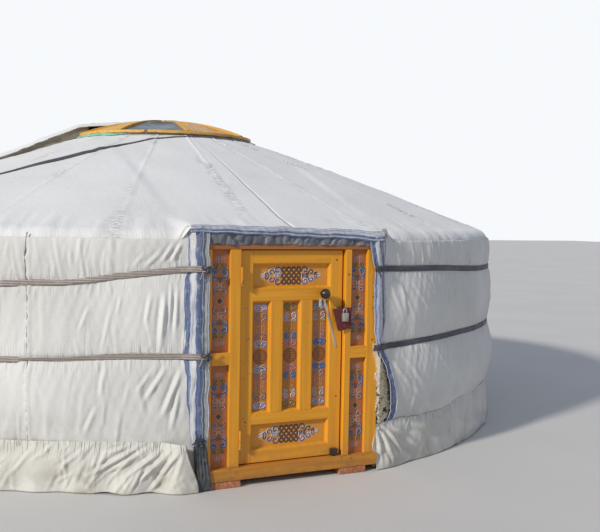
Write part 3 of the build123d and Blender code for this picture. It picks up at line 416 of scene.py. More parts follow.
def felt_finish(name, light, dark):
    """Matted wool in two tones."""
    return mottled(name, (6, 6, 0.3, 0.7), light, dark, ((90, 6), 0.006, 0.9), rough=0.97, sheen=0.25)


def torn_felt_finish():
    """Pale fleece, brightened as painted light, whole above and full of holes below, painted dark as their shade."""
    f = Finish("torn_wool_felt", rough=0.97, sheen=0.2)
    # Painted light: the fleece's two tones are brightened beyond the wall felt's own.
    tone = f.mix(f.patches(9, 5, 0.35, 0.7), (0.88, 0.79, 0.60), (0.72, 0.61, 0.42))
    # Painted shade: the holes below are dark colour laid on the fleece.
    holes = f.patches(24, 3, 0.55, 0.59, stretch=(1, 1, 0.6), warp=0.8)
    above = f.span(f.axis(2), 0.52, 0.66, 1.0, 0.0)
    flecks = f.patches(55, 3, 0.66, 0.70)
    dark = f.math("MAXIMUM", f.math("MULTIPLY", holes, above), f.math("MULTIPLY", flecks, 0.8))
    tone = f.mix(dark, tone, (0.035, 0.028, 0.02))
    return f.done(tone, f.bump(f.noise(90, 6), 0.006, 0.9))


wool = felt_finish("wool_felt", (0.52, 0.47, 0.38), (0.40, 0.35, 0.27))
lit_torn_wool = torn_felt_finish()
YELLOW = (0.82, 0.37, 0.018), (0.66, 0.27, 0.012)
OLD_WOOD = (0.16, 0.09, 0.05)
yellow_upright = paint_finish("yellow_paint_upright", *YELLOW, "z", dirt_top=0.3)
yellow_level = paint_finish("yellow_paint_level", *YELLOW, "x", dirt_top=0.25)
# Painted shade: the side and leaf panels are the frame's yellow paint darkened as in their recesses; the lying panels'
# tone (ends) is lighter, still partly darkened.
shaded_side_panel_paint = paint_finish("side_panel_painted_shade", (0.42, 0.150, 0.045), (0.34, 0.110, 0.032), "z", rough=0.5)
shaded_leaf_panel_paint = paint_finish("leaf_panel_painted_shade", (0.47, 0.175, 0.032), (0.37, 0.125, 0.024), "z", rough=0.5,
                           ends=(0.64, 0.28, 0.035))
# Painted shade: the header's orange-brown is the yellow paint darkened, as under the hood.
header_painted_shade = paint_finish("header_painted_shade", (0.40, 0.155, 0.045), (0.30, 0.11, 0.03), "x", rough=0.5)
sill_paint = paint_finish("sill_paint", (0.62, 0.27, 0.025), (0.44, 0.17, 0.02), "x", wear=(0.17, 0.11, 0.06),
                          rough=0.6, dirt_top=0.14, chips=0.59)
lattice_paint = paint_finish("lattice_paint", (0.50, 0.16, 0.03), (0.36, 0.10, 0.02), "z", rough=0.5)
rim_paint = paint_finish("rim_paint", (0.78, 0.48, 0.10), (0.60, 0.33, 0.06), "x", wear=OLD_WOOD, rough=0.55,
                         chips=0.58, foot=(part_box("crown_rim")[1].z - 0.022, (0.085, 0.055, 0.035)))
dome_paint = paint_finish("dome_paint", (0.74, 0.42, 0.075), (0.55, 0.27, 0.04), "x", wear=OLD_WOOD, rough=0.55,
                          chips=0.60)
hinge_paint = paint_finish("hinge_paint", (0.70, 0.33, 0.03), (0.50, 0.21, 0.02), "z", wear=(0.10, 0.085, 0.08),
                           rough=0.45, chips=0.56)


def fired_clay():
    """Rough red brick with pale dust and dark pores."""
    f = Finish("fired_clay", rough=0.95)
    tone = f.mix(f.patches(18, 5, 0.35, 0.7), (0.50, 0.19, 0.085), (0.36, 0.115, 0.05))
    tone = f.mix(f.patches(45, 6, 0.55, 0.72, 0.7), tone, (0.55, 0.42, 0.30))
    pores = f.patches(120, 3, 0.36, 0.30)
    tone = f.mix(pores, tone, (0.13, 0.05, 0.03))
    return f.done(tone, f.bump(pores, 0.003, -0.6, f.bump(f.noise(35, 6), 0.006, 0.8)))


def dusty_glass():
    """Grey roof pane with dust, and the slot for the stove's pipe painted near black as its shade; the pane to its
    right is painted over.
    """
    f = Finish("dusty_glass", rough=0.3)
    f.set("Specular IOR Level", 0.12)
    tone = f.mix(f.patches(5, 5, 0.35, 0.7), (0.075, 0.105, 0.145), (0.13, 0.165, 0.205))
    tone = f.mix(f.patches(14, 4, 0.6, 0.8, 0.35, stretch=(1, 0.3, 1)), tone, (0.26, 0.28, 0.29))
    turn = math.radians(-22)
    x, y = f.axis(0), f.axis(1)
    along = f.math("ADD", f.math("MULTIPLY", x, math.cos(turn)), f.math("MULTIPLY", y, math.sin(turn)))
    away = f.math("SUBTRACT", f.math("MULTIPLY", x, math.sin(turn)), f.math("MULTIPLY", y, math.cos(turn)))
    half_length, half_width, distance, blur = 0.10, 0.040, 0.40, 0.005
    off_middle = f.math("ABSOLUTE", f.math("SUBTRACT", away, distance))
    slot = f.math("MULTIPLY", f.span(f.math("ABSOLUTE", along), half_length, half_length - blur),
                  f.span(off_middle, half_width, half_width - blur))
    # Painted shade: the slot is a near-black mark on the pane.
    tone = f.mix(slot, tone, (0.010, 0.010, 0.012))
    brushed = f.mix(f.patches(6, 4, 0.35, 0.65, stretch=(6, 1, 1)), (0.72, 0.43, 0.12), (0.46, 0.20, 0.07))
    tone = f.mix(f.span(x, -0.030, -0.025), tone, brushed)
    return f.done(tone, None, f.span(f.noise(9, 5), 0.3, 0.75, 0.25, 0.5))


def dark_gloss():
    """Dark brown lacquer of the knob and the black iron block."""
    f = Finish("dark_gloss", rough=0.25)
    tone = f.mix(f.patches(35, 4, 0.35, 0.7), (0.040, 0.024, 0.018), (0.014, 0.011, 0.010))
    tone = f.mix(f.patches(90, 4, 0.62, 0.70, 0.6), tone, (0.16, 0.11, 0.07))
    return f.done(tone, f.bump(f.noise(60, 4), 0.0008, 0.5), f.span(f.noise(20, 3), 0.3, 0.7, 0.18, 0.45))


def strap_and_tag_finish():
    """Beige strap with grime, and the tag's worn silver."""
    f = Finish("strap_and_tag", rough=0.7)
    tone = f.mix(f.patches(25, 4, 0.35, 0.7), (0.58, 0.50, 0.39), (0.38, 0.31, 0.23))
    tag = f.math("MULTIPLY", f.span(f.axis(0), 0.2224, 0.2220), f.span(f.axis(2), 1.128, 1.129))
    silver = f.mix(f.patches(60, 3, 0.4, 0.7), (0.62, 0.61, 0.59), (0.34, 0.33, 0.31))
    return f.done(f.mix(tag, tone, silver), f.bump(f.noise(150, 3), 0.0008, 0.6))


def worn_steel():
    """Scratched steel with brown stains."""
    f = Finish("worn_steel", rough=0.35, metal=0.85)
    tone = f.mix(f.patches(30, 5, 0.4, 0.7), (0.52, 0.50, 0.47), (0.30, 0.27, 0.24))
    tone = f.mix(f.patches(14, 5, 0.58, 0.72, 0.8), tone, (0.16, 0.085, 0.05))
    scratches = f.noise(1.0, 2, (300, 20, 300))
    return f.done(tone, f.bump(scratches, 0.0004, 0.5), f.span(scratches, 0.3, 0.7, 0.28, 0.5))


# ---- Camera, floor and light

def aim_camera():
    """Camera at the photograph's place, angle and framing, as found from the door's corners and the rim."""
    photo_width, focal_pixels, sensor = 600, 863.8214, 36.0
    place, turns = (-2.3172, -8.0304, 1.7059), (-24.9864, -3.0973, 0.9853)
    yaw, pitch, roll = (math.radians(a) for a in turns)
    forward = Vector((-math.sin(yaw) * math.cos(pitch), math.cos(yaw) * math.cos(pitch), math.sin(pitch)))
    right = forward.cross(Vector((0, 0, 1))).normalized()
    up = right.cross(forward)
    level = math.cos(roll) * right + math.sin(roll) * up
    rise = -math.sin(roll) * right + math.cos(roll) * up
    data = bpy.data.cameras.new("camera")
    data.sensor_width = sensor
    data.lens = focal_pixels / photo_width * sensor
    data.clip_end = 200
    camera = bpy.data.objects.new("camera", data)
    turn = Matrix((level, rise, -forward)).transposed().to_4x4()
    camera.matrix_world = Matrix.Translation(place) @ turn
    bpy.context.scene.collection.objects.link(camera)
    bpy.context.scene.camera = camera


def light_up():
    """Pale floor, a pale world and a broad key light from the left."""
    plain = mottled("floor_plain", (0.6, 3, 0.3, 0.7), (0.60, 0.59, 0.57), (0.64, 0.63, 0.61), rough=0.95)
    far = 60
    corners = [(-far, -far, 0), (far, -far, 0), (far, far, 0), (-far, far, 0)]
    floor = new_piece("floor", corners, [(0, 1, 2, 3)], plain)
    world = bpy.data.worlds.new("studio")
    bpy.context.scene.world = world
    world.use_nodes = True
    tree = world.node_tree
    tree.nodes.clear()
    out = tree.nodes.new("ShaderNodeOutputWorld")
    light, show = tree.nodes.new("ShaderNodeBackground"), tree.nodes.new("ShaderNodeBackground")
    light.inputs[0].default_value, light.inputs[1].default_value = (0.71, 0.80, 1.0, 1), 0.425
    show.inputs[0].default_value, show.inputs[1].default_value = (0.93, 0.95, 0.97, 1), 1.0
    path = tree.nodes.new("ShaderNodeLightPath")
    seen = [path.outputs[k] for k in ("Is Camera Ray", "Is Glossy Ray", "Is Transmission Ray")]
    total = seen[0]
    for ray in seen[1:]:
        either = tree.nodes.new("ShaderNodeMath")
        either.operation = "MAXIMUM"
        tree.links.new(total, either.inputs[0])
        tree.links.new(ray, either.inputs[1])
        total = either.outputs[0]
    blend = tree.nodes.new("ShaderNodeMixShader")
    tree.links.new(total, blend.inputs[0])
    tree.links.new(light.outputs[0], blend.inputs[1])
    tree.links.new(show.outputs[0], blend.inputs[2])
    tree.links.new(blend.outputs[0], out.inputs[0])
    sun = bpy.data.lights.new("key", "SUN")
    sun.energy, sun.angle, sun.color = 2.95, math.radians(5), (1.0, 0.95, 0.87)
    key = bpy.data.objects.new("key", sun)
    aim = Vector((0.86, 0.34, -0.46))
    key.rotation_euler = aim.to_track_quat("-Z", "Y").to_euler()
    bpy.context.scene.collection.objects.link(key)


# ---- Covers

def spaced_bearings(start, end, fine, coarse):
    """Bearings between two limits, closer together on the door's side of the tent."""
    front = 100
    out = [start]
    sign = 1 if end > start else -1
    while sign * (end - out[-1]) > 0.05:
        step = fine if abs(out[-1]) < front else coarse
        out.append(out[-1] + sign * min(step, sign * (end - out[-1])))
    return np.array(out)


WALL_FOLDS = drawn([
    ((-16.0, 1.27), (-16.6, 0.87), 0.016, 0.016), ((-14.6, 1.30), (-14.9, 0.95), 0.012, 0.012),
    ((-15.3, 1.34), (-15.6, 1.00), 0.009, 0.007), ((-17.6, 1.25), (-18.3, 1.02), 0.012, 0.008),
    ((-14.0, 1.56), (-15.6, 1.42), 0.011, 0.012), ((-15.0, 1.55), (-16.8, 1.41), 0.010, 0.010),
    ((-16.4, 1.50), (-18.6, 1.39), 0.010, 0.009), ((-18.2, 1.49), (-19.8, 1.40), 0.009, 0.006),
    ((-13.9, 0.79), (-16.4, 0.45), 0.015, 0.016), ((-15.6, 0.80), (-18.6, 0.55), 0.013, 0.012),
    ((-14.2, 0.68), (-15.3, 0.36), 0.014, 0.012), ((-17.2, 0.78), (-19.4, 0.62), 0.010, 0.007),
    ((-22.8, 0.80), (-23.4, 0.58), 0.014, 0.008), ((-23.6, 0.56), (-25.4, 0.34), 0.014, 0.008),
    ((-24.6, 1.18), (-26.0, 0.98), 0.011, 0.006), ((-21.0, 1.24), (-21.6, 1.08), 0.010, 0.006),
    ((13.6, 1.33), (17.0, 1.02), 0.014, 0.009), ((15.0, 1.34), (19.4, 0.98), 0.014, 0.010),
    ((17.4, 1.34), (23.0, 1.00), 0.013, 0.009), ((20.5, 1.33), (26.0, 1.06), 0.012, 0.007),
    ((14.2, 0.78), (19.0, 0.50), 0.015, 0.011), ((16.6, 0.80), (22.0, 0.46), 0.016, 0.012),
    ((18.0, 0.56), (23.4, 0.36), 0.016, 0.020), ((19.4, 0.62), (22.0, 0.52), 0.012, 0.010),
    ((24.0, 0.78), (29.0, 0.48), 0.015, 0.010), ((29.0, 0.76), (33.0, 0.50), 0.014, 0.009),
    ((26.5, 1.30), (31.0, 1.04), 0.012, 0.007), ((33.0, 0.80), (38.0, 0.42), 0.015, 0.010),
])


def wall_radius(b, z):
    """Radius of the wall canvas: full between the ropes, drawn in under them, with folds."""
    s = np.radians(b) * WALL_R
    up, low, seam = (along_knots(b, k) for k in (ROPE_UP, ROPE_LOW, SKIRT_SEAM))
    right = smooth((b - 5) / 20) * 0.7 + 0.3
    fullness = ((z - seam) / (low - seam), (z - low) / (up - low), (z - up) / (1.60 - up))
    depth = (0.046 * right + 0.012, 0.034 * right + 0.008, 0.016)
    bulge = np.zeros(b.shape)
    for share, size in zip(fullness, depth):
        inside = (share > 0) & (share < 1)
        bulge += np.where(inside, size * np.sin(np.pi * np.clip(share, 0, 1)) ** 0.7, 0)
    side = np.where(b < 0, 1, -1)
    folds = creases(s, z, WALL_FOLDS) * np.where(b > 5, 0.5, 1.35)  # shallower in the shade than in the light
    for k, (low_z, high_z) in enumerate(((0.32, 0.8), (0.88, 1.28), (1.38, 1.52))):
        folds += creases(s, z, scattered(11 + k, 210, ROUND, (low_z, high_z), 13, (0.14, 0.45), (0.008, 0.018),
                                         (0.002, 0.0065)))
    tied = np.zeros(b.shape)
    for k, rope in enumerate((up, low)):
        pleats = scattered(31 + k, 420, ROUND, (-0.07, 0.07), 16, (0.06, 0.19), (0.006, 0.010), (0.003, 0.007))
        folds += creases(s, z - rope, pleats)
        tied = np.maximum(tied, np.exp(-((z - rope) / 0.022) ** 2))
    swell = 0.006 * ripples(5, s, z * 0.35, 9, 0.16, 0.6) + 0.0014 * ripples(6, s, z, 12, 0.05, 0.2, 0.3)
    folds, swell, bulge = folds * (1 - 0.92 * tied), swell * (1 - 0.8 * tied), bulge - 0.003 * tied
    seams = np.zeros(b.shape)
    for line in WALL_LAPS:
        off = (s - math.radians(line) * WALL_R) * side
        seams += 0.004 * smooth((off + 0.004) / 0.008) * smooth((0.03 - off) / 0.01)
        seams += 0.004 * np.exp(-(off / 0.012) ** 2) * ripples(300 + int(line), s * 0, z, 5, 0.05, 0.14)
    return WALL_R + 0.007 + bulge + folds + swell + seams


def edge_bearing(z, side):
    """Bearing of the wall canvas's edge beside the door; on the right it is torn away low down."""
    if side < 0:
        return along_knots(z, ((0, -12.3), (0.4, -12.6), (1.0, -12.9), (1.6, -12.9)))
    return along_knots(z, ((0, 13.4), (0.29, 13.6), (0.33, 15.0), (0.394, 15.7), (0.464, 15.7), (0.571, 14.95),
                           (0.642, 14.6), (0.734, 14.0), (0.81, 13.3), (0.90, 13.15), (1.3, 12.9), (1.6, 12.6)))


def pulled(b, z, reach):
    """1 under a rope, fading out above and below it."""
    away = [np.abs(z - along_knots(b, knots)) for knots in (ROPE_UP, ROPE_LOW)]
    return np.exp(-np.minimum(*away) / reach)


def over_door(width):
    """1 over the door and 0 beyond the hood's sides, by distance from the middle line."""
    return smooth((0.755 - width) / 0.08)


def wall_bearings(start, end):
    """Bearings along one side of the wall, closer together where the photo shows it."""
    seen = spaced_bearings(start, PHOTO_EDGE, 0.17, 0.17)
    return np.concatenate([seen, spaced_bearings(PHOTO_EDGE, end, 0.5, 1.0)[1:]])


def wall_cloth():
    """Wall canvas in two lengths that meet in a lap behind."""
    for name, side, end, lap in (("wall_canvas_right", 1, 180.6, 0.0), ("wall_canvas_left", -1, 180, 0.003)):
        b = wall_bearings(DOOR_EDGE, end) * side
        t = np.concatenate([np.linspace(0, 0.18, 6)[:-1], np.linspace(0.18, 1, 88)])
        if side < 0:
            b = b[::-1]
        bb, tt = np.meshgrid(b, t)
        top = 1.57 + 0.085 * over_door(WALL_R * np.sin(np.radians(np.minimum(np.abs(bb), 90))))
        zz = 0.02 + tt * (top - 0.02)
        moved = edge_bearing(zz, side) - DOOR_EDGE * side
        bb = bb + moved * np.clip(1 - (np.abs(bb) - DOOR_EDGE) / 12, 0, 1) ** 2
        points = round_points(wall_radius(bb, zz) + lap, bb, zz)
        uv = np.stack([np.radians(bb) * WALL_R, zz], -1)
        piece = settled_cloth(name, points, uv, CANVAS_THICK, canvas, "wall_canvas",
                              pull=0.5 * pulled(bb, zz, 0.06))


def roof_line(share):
    """Radius, height, outward part, upward part of the way out, and way walked, at shares from rim to eave."""
    walked = share * (ROOF_SLANT + SHOULDER_ARC)
    turn = SLOPE + np.clip((walked - ROOF_SLANT) / SHOULDER_ARC, 0, 1) * SHOULDER_TURN
    straight = walked < ROOF_SLANT
    radius = np.where(straight, RIM_R + walked * math.cos(SLOPE), WALL_R - SHOULDER + SHOULDER * np.sin(turn))
    height = np.where(straight, CORNER_Z + (WALL_R - radius) * math.tan(SLOPE), SHOULDER_Z + SHOULDER * np.cos(turn))
    return radius, height, np.sin(turn), np.cos(turn), walked


ROOF_FOLDS = scattered(71, 230, ROUND, (2.05, 2.32), 16, (0.07, 0.20), (0.007, 0.014), (0.002, 0.006))
ROOF_FOLDS += scattered(72, 90, ROUND, (0.2, 2.1), 30, (0.15, 0.5), (0.012, 0.03), (0.001, 0.0035))
HOOD_EDGE = ((-0.80, 1.655), (-0.07, 1.647), (0.40, 1.635), (0.80, 1.620))


def roof_surface(bb, qq, off=0.0):
    """Points and cut of the roof canvas at bearings and shares from rim to eave, or at a height off it."""
    radius, height, out_r, out_z, walked = roof_line(qq)
    s = np.radians(bb) * WALL_R
    width = np.abs(radius * np.sin(np.radians(bb)))
    front = over_door(width) * (np.abs(bb) < 60)
    out = np.clip((radius - WALL_R + HOOD_REACH) / HOOD_REACH, 0, 1)
    edge = along_knots(radius * np.sin(np.radians(bb)), HOOD_EDGE)
    lifted = (CORNER_Z + HOOD_REACH * math.tan(SLOPE)) * (1 - out) + edge * out
    height = height + front * np.maximum(lifted - height, 0) * (out > 0)
    lift = off + 0.009 + 0.022 * np.sin(np.pi * np.clip(walked / 2.2, 0, 1)) * (1 - 0.6 * front)
    lift = lift * (1 - 0.75 * front * out)
    near_eave = smooth((walked - 1.9) / 0.35)
    lift += creases(s, walked, ROOF_FOLDS) * (1 - 0.8 * front)
    lift += 0.0025 * ripples(81, s, walked, 9, 0.3, 1.1)
    lift += 0.0035 * near_eave * ripples(82, s, walked * 0.2, 8, 0.05, 0.16)
    lift += 0.004 * near_eave * np.cos(np.radians(bb) * 59)
    for k, line in enumerate(SEAM_BEARINGS):
        off_b = (bb - line + 180) % 360 - 180
        across = np.radians(off_b) * radius
        beside = np.exp(-(across / 0.045) ** 2)
        gathers = ripples(100 + k, across * 0.35, walked, 7, 0.045, 0.11)
        where = 0.35 + 0.65 * smooth(ripples(140 + k, across * 0, walked, 3, 0.5, 1.2) * 0.5 + 0.5)
        worst = 1.0 + 1.6 * (k in (0, 20)) * np.exp(-((walked - 0.75) / 0.45) ** 2)
        lift += 0.0045 * worst * beside * gathers * where * smooth(walked / 0.2)
        lift += 0.0045 * smooth((across + 0.004) / 0.006) * smooth((0.026 - across) / 0.008)
    lift = np.maximum(lift, off + 0.003)
    points = round_points(radius + lift * out_r, bb, height + lift * out_z)
    start = (WALL_R - HOOD_REACH) * np.cos(np.radians(bb))
    straight = -(start + out * (HOOD_FRONT - start))
    points[..., 1] += (straight - points[..., 1]) * front * (out > 0)
    return points, np.stack([s * radius / WALL_R, walked], -1)


def roof_pull(bb, qq):
    """Where the roof canvas is puckered: beside its seams, in stretches."""
    radius, _, _, _, walked = roof_line(qq)
    total = np.zeros(walked.shape)
    for k, line in enumerate(SEAM_BEARINGS):
        across = np.radians((bb - line + 180) % 360 - 180) * radius
        stretch = smooth(ripples(140 + k, across * 0, walked, 3, 0.5, 1.2) * 0.7 + 0.35)
        total = np.maximum(total, np.exp(-(across / 0.045) ** 2) * stretch)
    return total


def roof_share(radius):
    """Share from rim to eave of a radius on the straight part of the roof."""
    return (radius - RIM_R) / math.cos(SLOPE) / (ROOF_SLANT + SHOULDER_ARC)


def roof_cloth_pieces():
    """Roof canvas with sewn gores, a rounded shoulder and a flatter run out over the door."""
    for name, end in (("roof_canvas_right", 180.0), ("roof_canvas_left", -180.0)):
        b = spaced_bearings(0.0, end, 0.46, 0.9)
        if end < 0:
            b = b[::-1]
        rows = np.concatenate([np.linspace(0, 0.86, 44)[:-1], np.linspace(0.86, 0.985, 22)])
        bb, qq = np.meshgrid(b, rows)
        points, uv = roof_surface(bb, qq)
        piece = settled_cloth(name, points, uv, CANVAS_THICK, roof_cloth, ("roof_canvas", "door_hood"),
                              flip=True, pull=roof_pull(bb, qq))


def skirt_cloth_pieces():
    """Skirt sewn round the foot of the wall, lying on the ground in loose diagonal folds."""
    big = drawn([
        ((-13.5, 0.30), (-15.2, 0.01), 0.012, 0.016), ((-14.0, 0.30), (-17.4, 0.02), 0.013, 0.020),
        ((-14.6, 0.30), (-19.4, 0.05), 0.012, 0.016), ((-15.6, 0.30), (-21.0, 0.08), 0.014, 0.020),
        ((-17.0, 0.30), (-23.6, 0.10), 0.013, 0.018), ((-18.4, 0.30), (-25.4, 0.09), 0.014, 0.016),
        ((-20.0, 0.29), (-23.4, 0.24), 0.010, 0.012), ((-22.4, 0.30), (-24.4, 0.05), 0.013, 0.014),
        ((-24.8, 0.29), (-29.0, 0.12), 0.012, 0.010), ((-27.6, 0.30), (-27.2, 0.03), 0.010, 0.012),
        ((-31.0, 0.29), (-34.2, 0.08), 0.013, 0.012), ((12.4, 0.30), (13.2, 0.02), 0.012, 0.016),
        ((12.9, 0.30), (15.2, 0.03), 0.014, 0.022), ((13.4, 0.31), (17.6, 0.05), 0.014, 0.020),
        ((14.0, 0.31), (20.4, 0.12), 0.016, 0.016), ((17.0, 0.30), (26.0, 0.14), 0.020, 0.010),
        ((23.0, 0.30), (31.0, 0.12), 0.022, 0.009),
    ])
    loose_folds = scattered(205, 46, (-2.3, -0.72), (0.03, 0.26), (24, 62), (0.10, 0.30), (0.007, 0.013),
                            (0.004, 0.010))
    loose_folds += scattered(202, 190, ROUND, (0.02, 0.28), 46, (0.12, 0.32), (0.009, 0.018), (0.003, 0.009))
    for name, node, side in (("skirt_cloth_right", "skirt_right", 1), ("skirt_cloth_left", "skirt_left", -1)):
        b = wall_bearings(12, 180)
        b = b if side > 0 else -b[::-1]
        bb, qq = np.meshgrid(b, np.linspace(0, 1, 40))
        lean = np.clip(1 - (np.abs(bb) - 12) / 4, 0, 1)
        if side > 0:
            bb = bb + lean * (0.25 * np.sin(qq * 9) - 0.1)
        else:
            bb = bb - lean * 1.5 * smooth(qq)
        s = np.radians(bb) * WALL_R
        seam = along_knots(bb, SKIRT_SEAM) + 0.012
        hem = 0.004 + 0.012 * np.clip(ripples(201, s, s * 0, 6, 0.2, 0.9), 0, 1)
        z = hem + (seam - hem) * qq
        loose = 1 - smooth((qq - 0.55) / 0.45)
        calm = 1 - 0.65 * smooth((bb - 16) / 6) * smooth((75 - bb) / 10)
        folds = creases(s, z, big) + creases(s, z, loose_folds) * calm
        gather = 0.0022 * ripples(203, s, z * 0.3, 9, 0.03, 0.08) * smooth((qq - 0.7) / 0.3)
        flare = 0.030 * (1 - qq) ** 1.5 + 0.010 * np.sin(np.pi * qq)
        flare = flare + 0.016 * calm * loose * ripples(204, s, z, 8, 0.2, 0.8)
        corner = smooth((bb + 16.5) / 3) * (bb < 0)
        radius = WALL_R + 0.016 + np.maximum(flare, 0) + folds * smooth(qq / 0.1 + 0.4) + gather
        radius = np.maximum(radius, WALL_R + 0.010)
        radius = radius * (1 - corner) + np.maximum(radius, (3.004 + 0.4 * folds) / np.cos(np.radians(bb))) * corner
        points = round_points(radius, bb, z)
        uv = np.stack([s, z], -1)
        piece = settled_cloth(name, points, uv, CANVAS_THICK, skirt_cloth, node,
                              pull=0.8 * smooth((qq - 0.55) / 0.45))


def felt_lining():
    """Felt behind the canvas: wall and roof, each with the two sides of its thickness."""
    for name, nodes, rows in (
            ("wall_felt_lining", ("wall_felt_right", "wall_felt_left"), None),
            ("roof_felt_lining", ("roof_felt_right", "roof_felt_left"), np.linspace(0.012, 0.97, 28))):
        b = np.linspace(12.4, 347.6, 220) if rows is None else np.linspace(0, 360, 241)
        if rows is None:
            bb, zz = np.meshgrid(b, np.linspace(0.012, 1.51, 22))
            s = np.radians(bb) * WALL_R
            radius = WALL_R - 0.001 + 0.002 * ripples(301, s, zz, 10, 0.1, 0.5)
            points, uv = round_points(radius, bb, zz), np.stack([s, zz], -1)
        else:
            bb, qq = np.meshgrid(b, rows)
            radius, height, out_r, out_z, walked = roof_line(qq)
            s = np.radians(bb) * WALL_R
            width = np.abs(radius * np.sin(np.radians(bb)))
            blocked = (width < 0.655) & (radius > WALL_R - 0.25) & (np.cos(np.radians(bb)) > 0.5)
            lift = 0.002 + 0.0015 * (ripples(302, s, walked, 10, 0.1, 0.5) * (walked > 0.05) * (walked < 2.2))
            lift[:, -1] = lift[:, 0]
            points = round_points(radius + lift * out_r, bb, height + lift * out_z)
            uv = np.stack([s, walked], -1)
        piece = cloth_mesh(name, points, uv, 0.030, flip=rows is not None)
        if rows is not None:
            mesh = bmesh.new()
            mesh.from_mesh(piece.data)
            mesh.verts.ensure_lookup_table()
            flat = blocked.ravel()
            gone = [v for v in mesh.verts if flat[v.index]]
            bmesh.ops.delete(mesh, geom=gone, context="VERTS")
            bmesh.ops.remove_doubles(mesh, verts=mesh.verts, dist=1e-5)
            mesh.to_mesh(piece.data)
            mesh.free()
            piece.data.shade_smooth()
        settle(piece)
        piece.data.materials.clear()
        piece.data.materials.append(wool)
        declare(piece, nodes)


# ---- Sweeps along paths, by Geometry Nodes

def sweep_tree(name):
    """Node tree that sweeps a flat oval of named width and height along paths, its flat side facing 'facing'."""
    tree = bpy.data.node_groups.new(name, "GeometryNodeTree")
    face = tree.interface
    face.new_socket("Geometry", in_out="INPUT", socket_type="NodeSocketGeometry")
    sizes = {}
    for label, kind, value in (("Width", "Float", 0.03), ("Height", "Float", 0.005), ("Sides", "Int", 8)):
        socket = face.new_socket(label, in_out="INPUT", socket_type="NodeSocket" + kind)
        socket.default_value = value
        sizes[label] = socket.identifier
    sizes["Finish"] = face.new_socket("Finish", in_out="INPUT", socket_type="NodeSocketMaterial").identifier
    face.new_socket("Geometry", in_out="OUTPUT", socket_type="NodeSocketGeometry")
    make, link = tree.nodes.new, tree.links.new
    start, end = make("NodeGroupInput"), make("NodeGroupOutput")
    path = make("GeometryNodeMeshToCurve")
    link(start.outputs["Geometry"], path.inputs["Mesh"])
    facing, wide = make("GeometryNodeInputNamedAttribute"), make("GeometryNodeInputNamedAttribute")
    facing.data_type, wide.data_type = "FLOAT_VECTOR", "FLOAT"
    facing.inputs["Name"].default_value, wide.inputs["Name"].default_value = "facing", "wide"
    aim = make("GeometryNodeSetCurveNormal")
    aim.mode = "FREE"
    link(path.outputs[0], aim.inputs["Curve"])
    link(facing.outputs["Attribute"], aim.inputs["Normal"])
    circle = make("GeometryNodeCurvePrimitiveCircle")
    circle.inputs["Radius"].default_value = 0.5
    link(start.outputs["Sides"], circle.inputs["Resolution"])
    size = make("ShaderNodeCombineXYZ")
    link(start.outputs["Width"], size.inputs[1])
    link(start.outputs["Height"], size.inputs[0])
    oval = make("GeometryNodeTransform")
    link(circle.outputs[0], oval.inputs["Geometry"])
    link(size.outputs[0], oval.inputs["Scale"])
    sweep = make("GeometryNodeCurveToMesh")
    sweep.inputs["Fill Caps"].default_value = True
    link(aim.outputs[0], sweep.inputs["Curve"])
    link(wide.outputs["Attribute"], sweep.inputs["Scale"])
    link(oval.outputs[0], sweep.inputs["Profile Curve"])
    whole, coat = make("GeometryNodeRealizeInstances"), make("GeometryNodeSetMaterial")
    link(sweep.outputs[0], whole.inputs[0])
    link(whole.outputs[0], coat.inputs["Geometry"])
    link(start.outputs["Finish"], coat.inputs["Material"])
    link(coat.outputs[0], end.inputs[0])
    return tree, sizes


SWEEP, SWEEP_SOCKETS = sweep_tree("swept_band")


def swept(name, paths, width, height, finish, node=None, body="base", sides=8):
    """One mesh swept along paths of (points, facing directions, size factors), and declared."""
    points, edges, facing, wide, start = [], [], [], [], 0
    for path, face, factor in paths:
        count = len(path)
        points.extend(path)
        facing.extend(np.broadcast_to(face, (count, 3)))
        wide.extend(np.broadcast_to(factor, (count,)))
        edges.extend((start + i, start + i + 1) for i in range(count - 1))
        start += count
    mesh = bpy.data.meshes.new(name)
    mesh.from_pydata([tuple(map(float, p)) for p in points], edges, [])
    mesh.attributes.new("facing", "FLOAT_VECTOR", "POINT").data.foreach_set("vector", np.ravel(facing).astype("f"))
    mesh.attributes.new("wide", "FLOAT", "POINT").data.foreach_set("value", np.ravel(wide).astype("f"))
    piece = bpy.data.objects.new(name, mesh)
    bpy.context.scene.collection.objects.link(piece)
    nodes = piece.modifiers.new("sweep", "NODES")
    nodes.node_group = SWEEP
    for label, value in (("Width", width), ("Height", height), ("Sides", sides), ("Finish", finish)):
        nodes[SWEEP_SOCKETS[label]] = value
    settle(piece)
    for extra in ("facing", "wide"):
        if extra in piece.data.attributes:
            piece.data.attributes.remove(piece.data.attributes[extra])
    piece.data.shade_smooth()
    declare(piece, node, body)


# ---- Ropes, hems and flap

def wall_path(bearings, heights, off, half=0.014):
    """Points along the wall that clear its folds under a band of some width, and the way that the band faces."""
    tries = [wall_radius(bearings + db, heights + dz) for db in (-0.2, 0, 0.2) for dz in (-half, 0, half)]
    reach = np.pad(np.max(tries, 0), 1, mode="edge")
    radius = (reach[:-2] + reach[1:-1] + reach[2:]) / 3 + off
    points = round_points(radius, bearings, heights)
    facing = round_points(np.ones(len(bearings)), bearings, np.zeros(len(bearings)))
    return points, facing


def knot(centre, size, facing):
    """Overhand knot drawn small: a flattened trefoil around a centre, in the plane across its facing."""
    t = np.linspace(0, 2 * math.pi, 40)
    out = np.array(facing)
    side = np.cross((0, 0, 1), out)
    x, y, d = np.sin(t) + 1.6 * np.sin(2 * t), np.cos(t) - 1.6 * np.cos(2 * t), -np.sin(3 * t)
    path = np.array(centre) + size * (0.5 * x[:, None] * side + 0.34 * y[:, None] * np.array((0, 0, 1))
                                      + 0.30 * d[:, None] * out)
    return path, out, 1.0


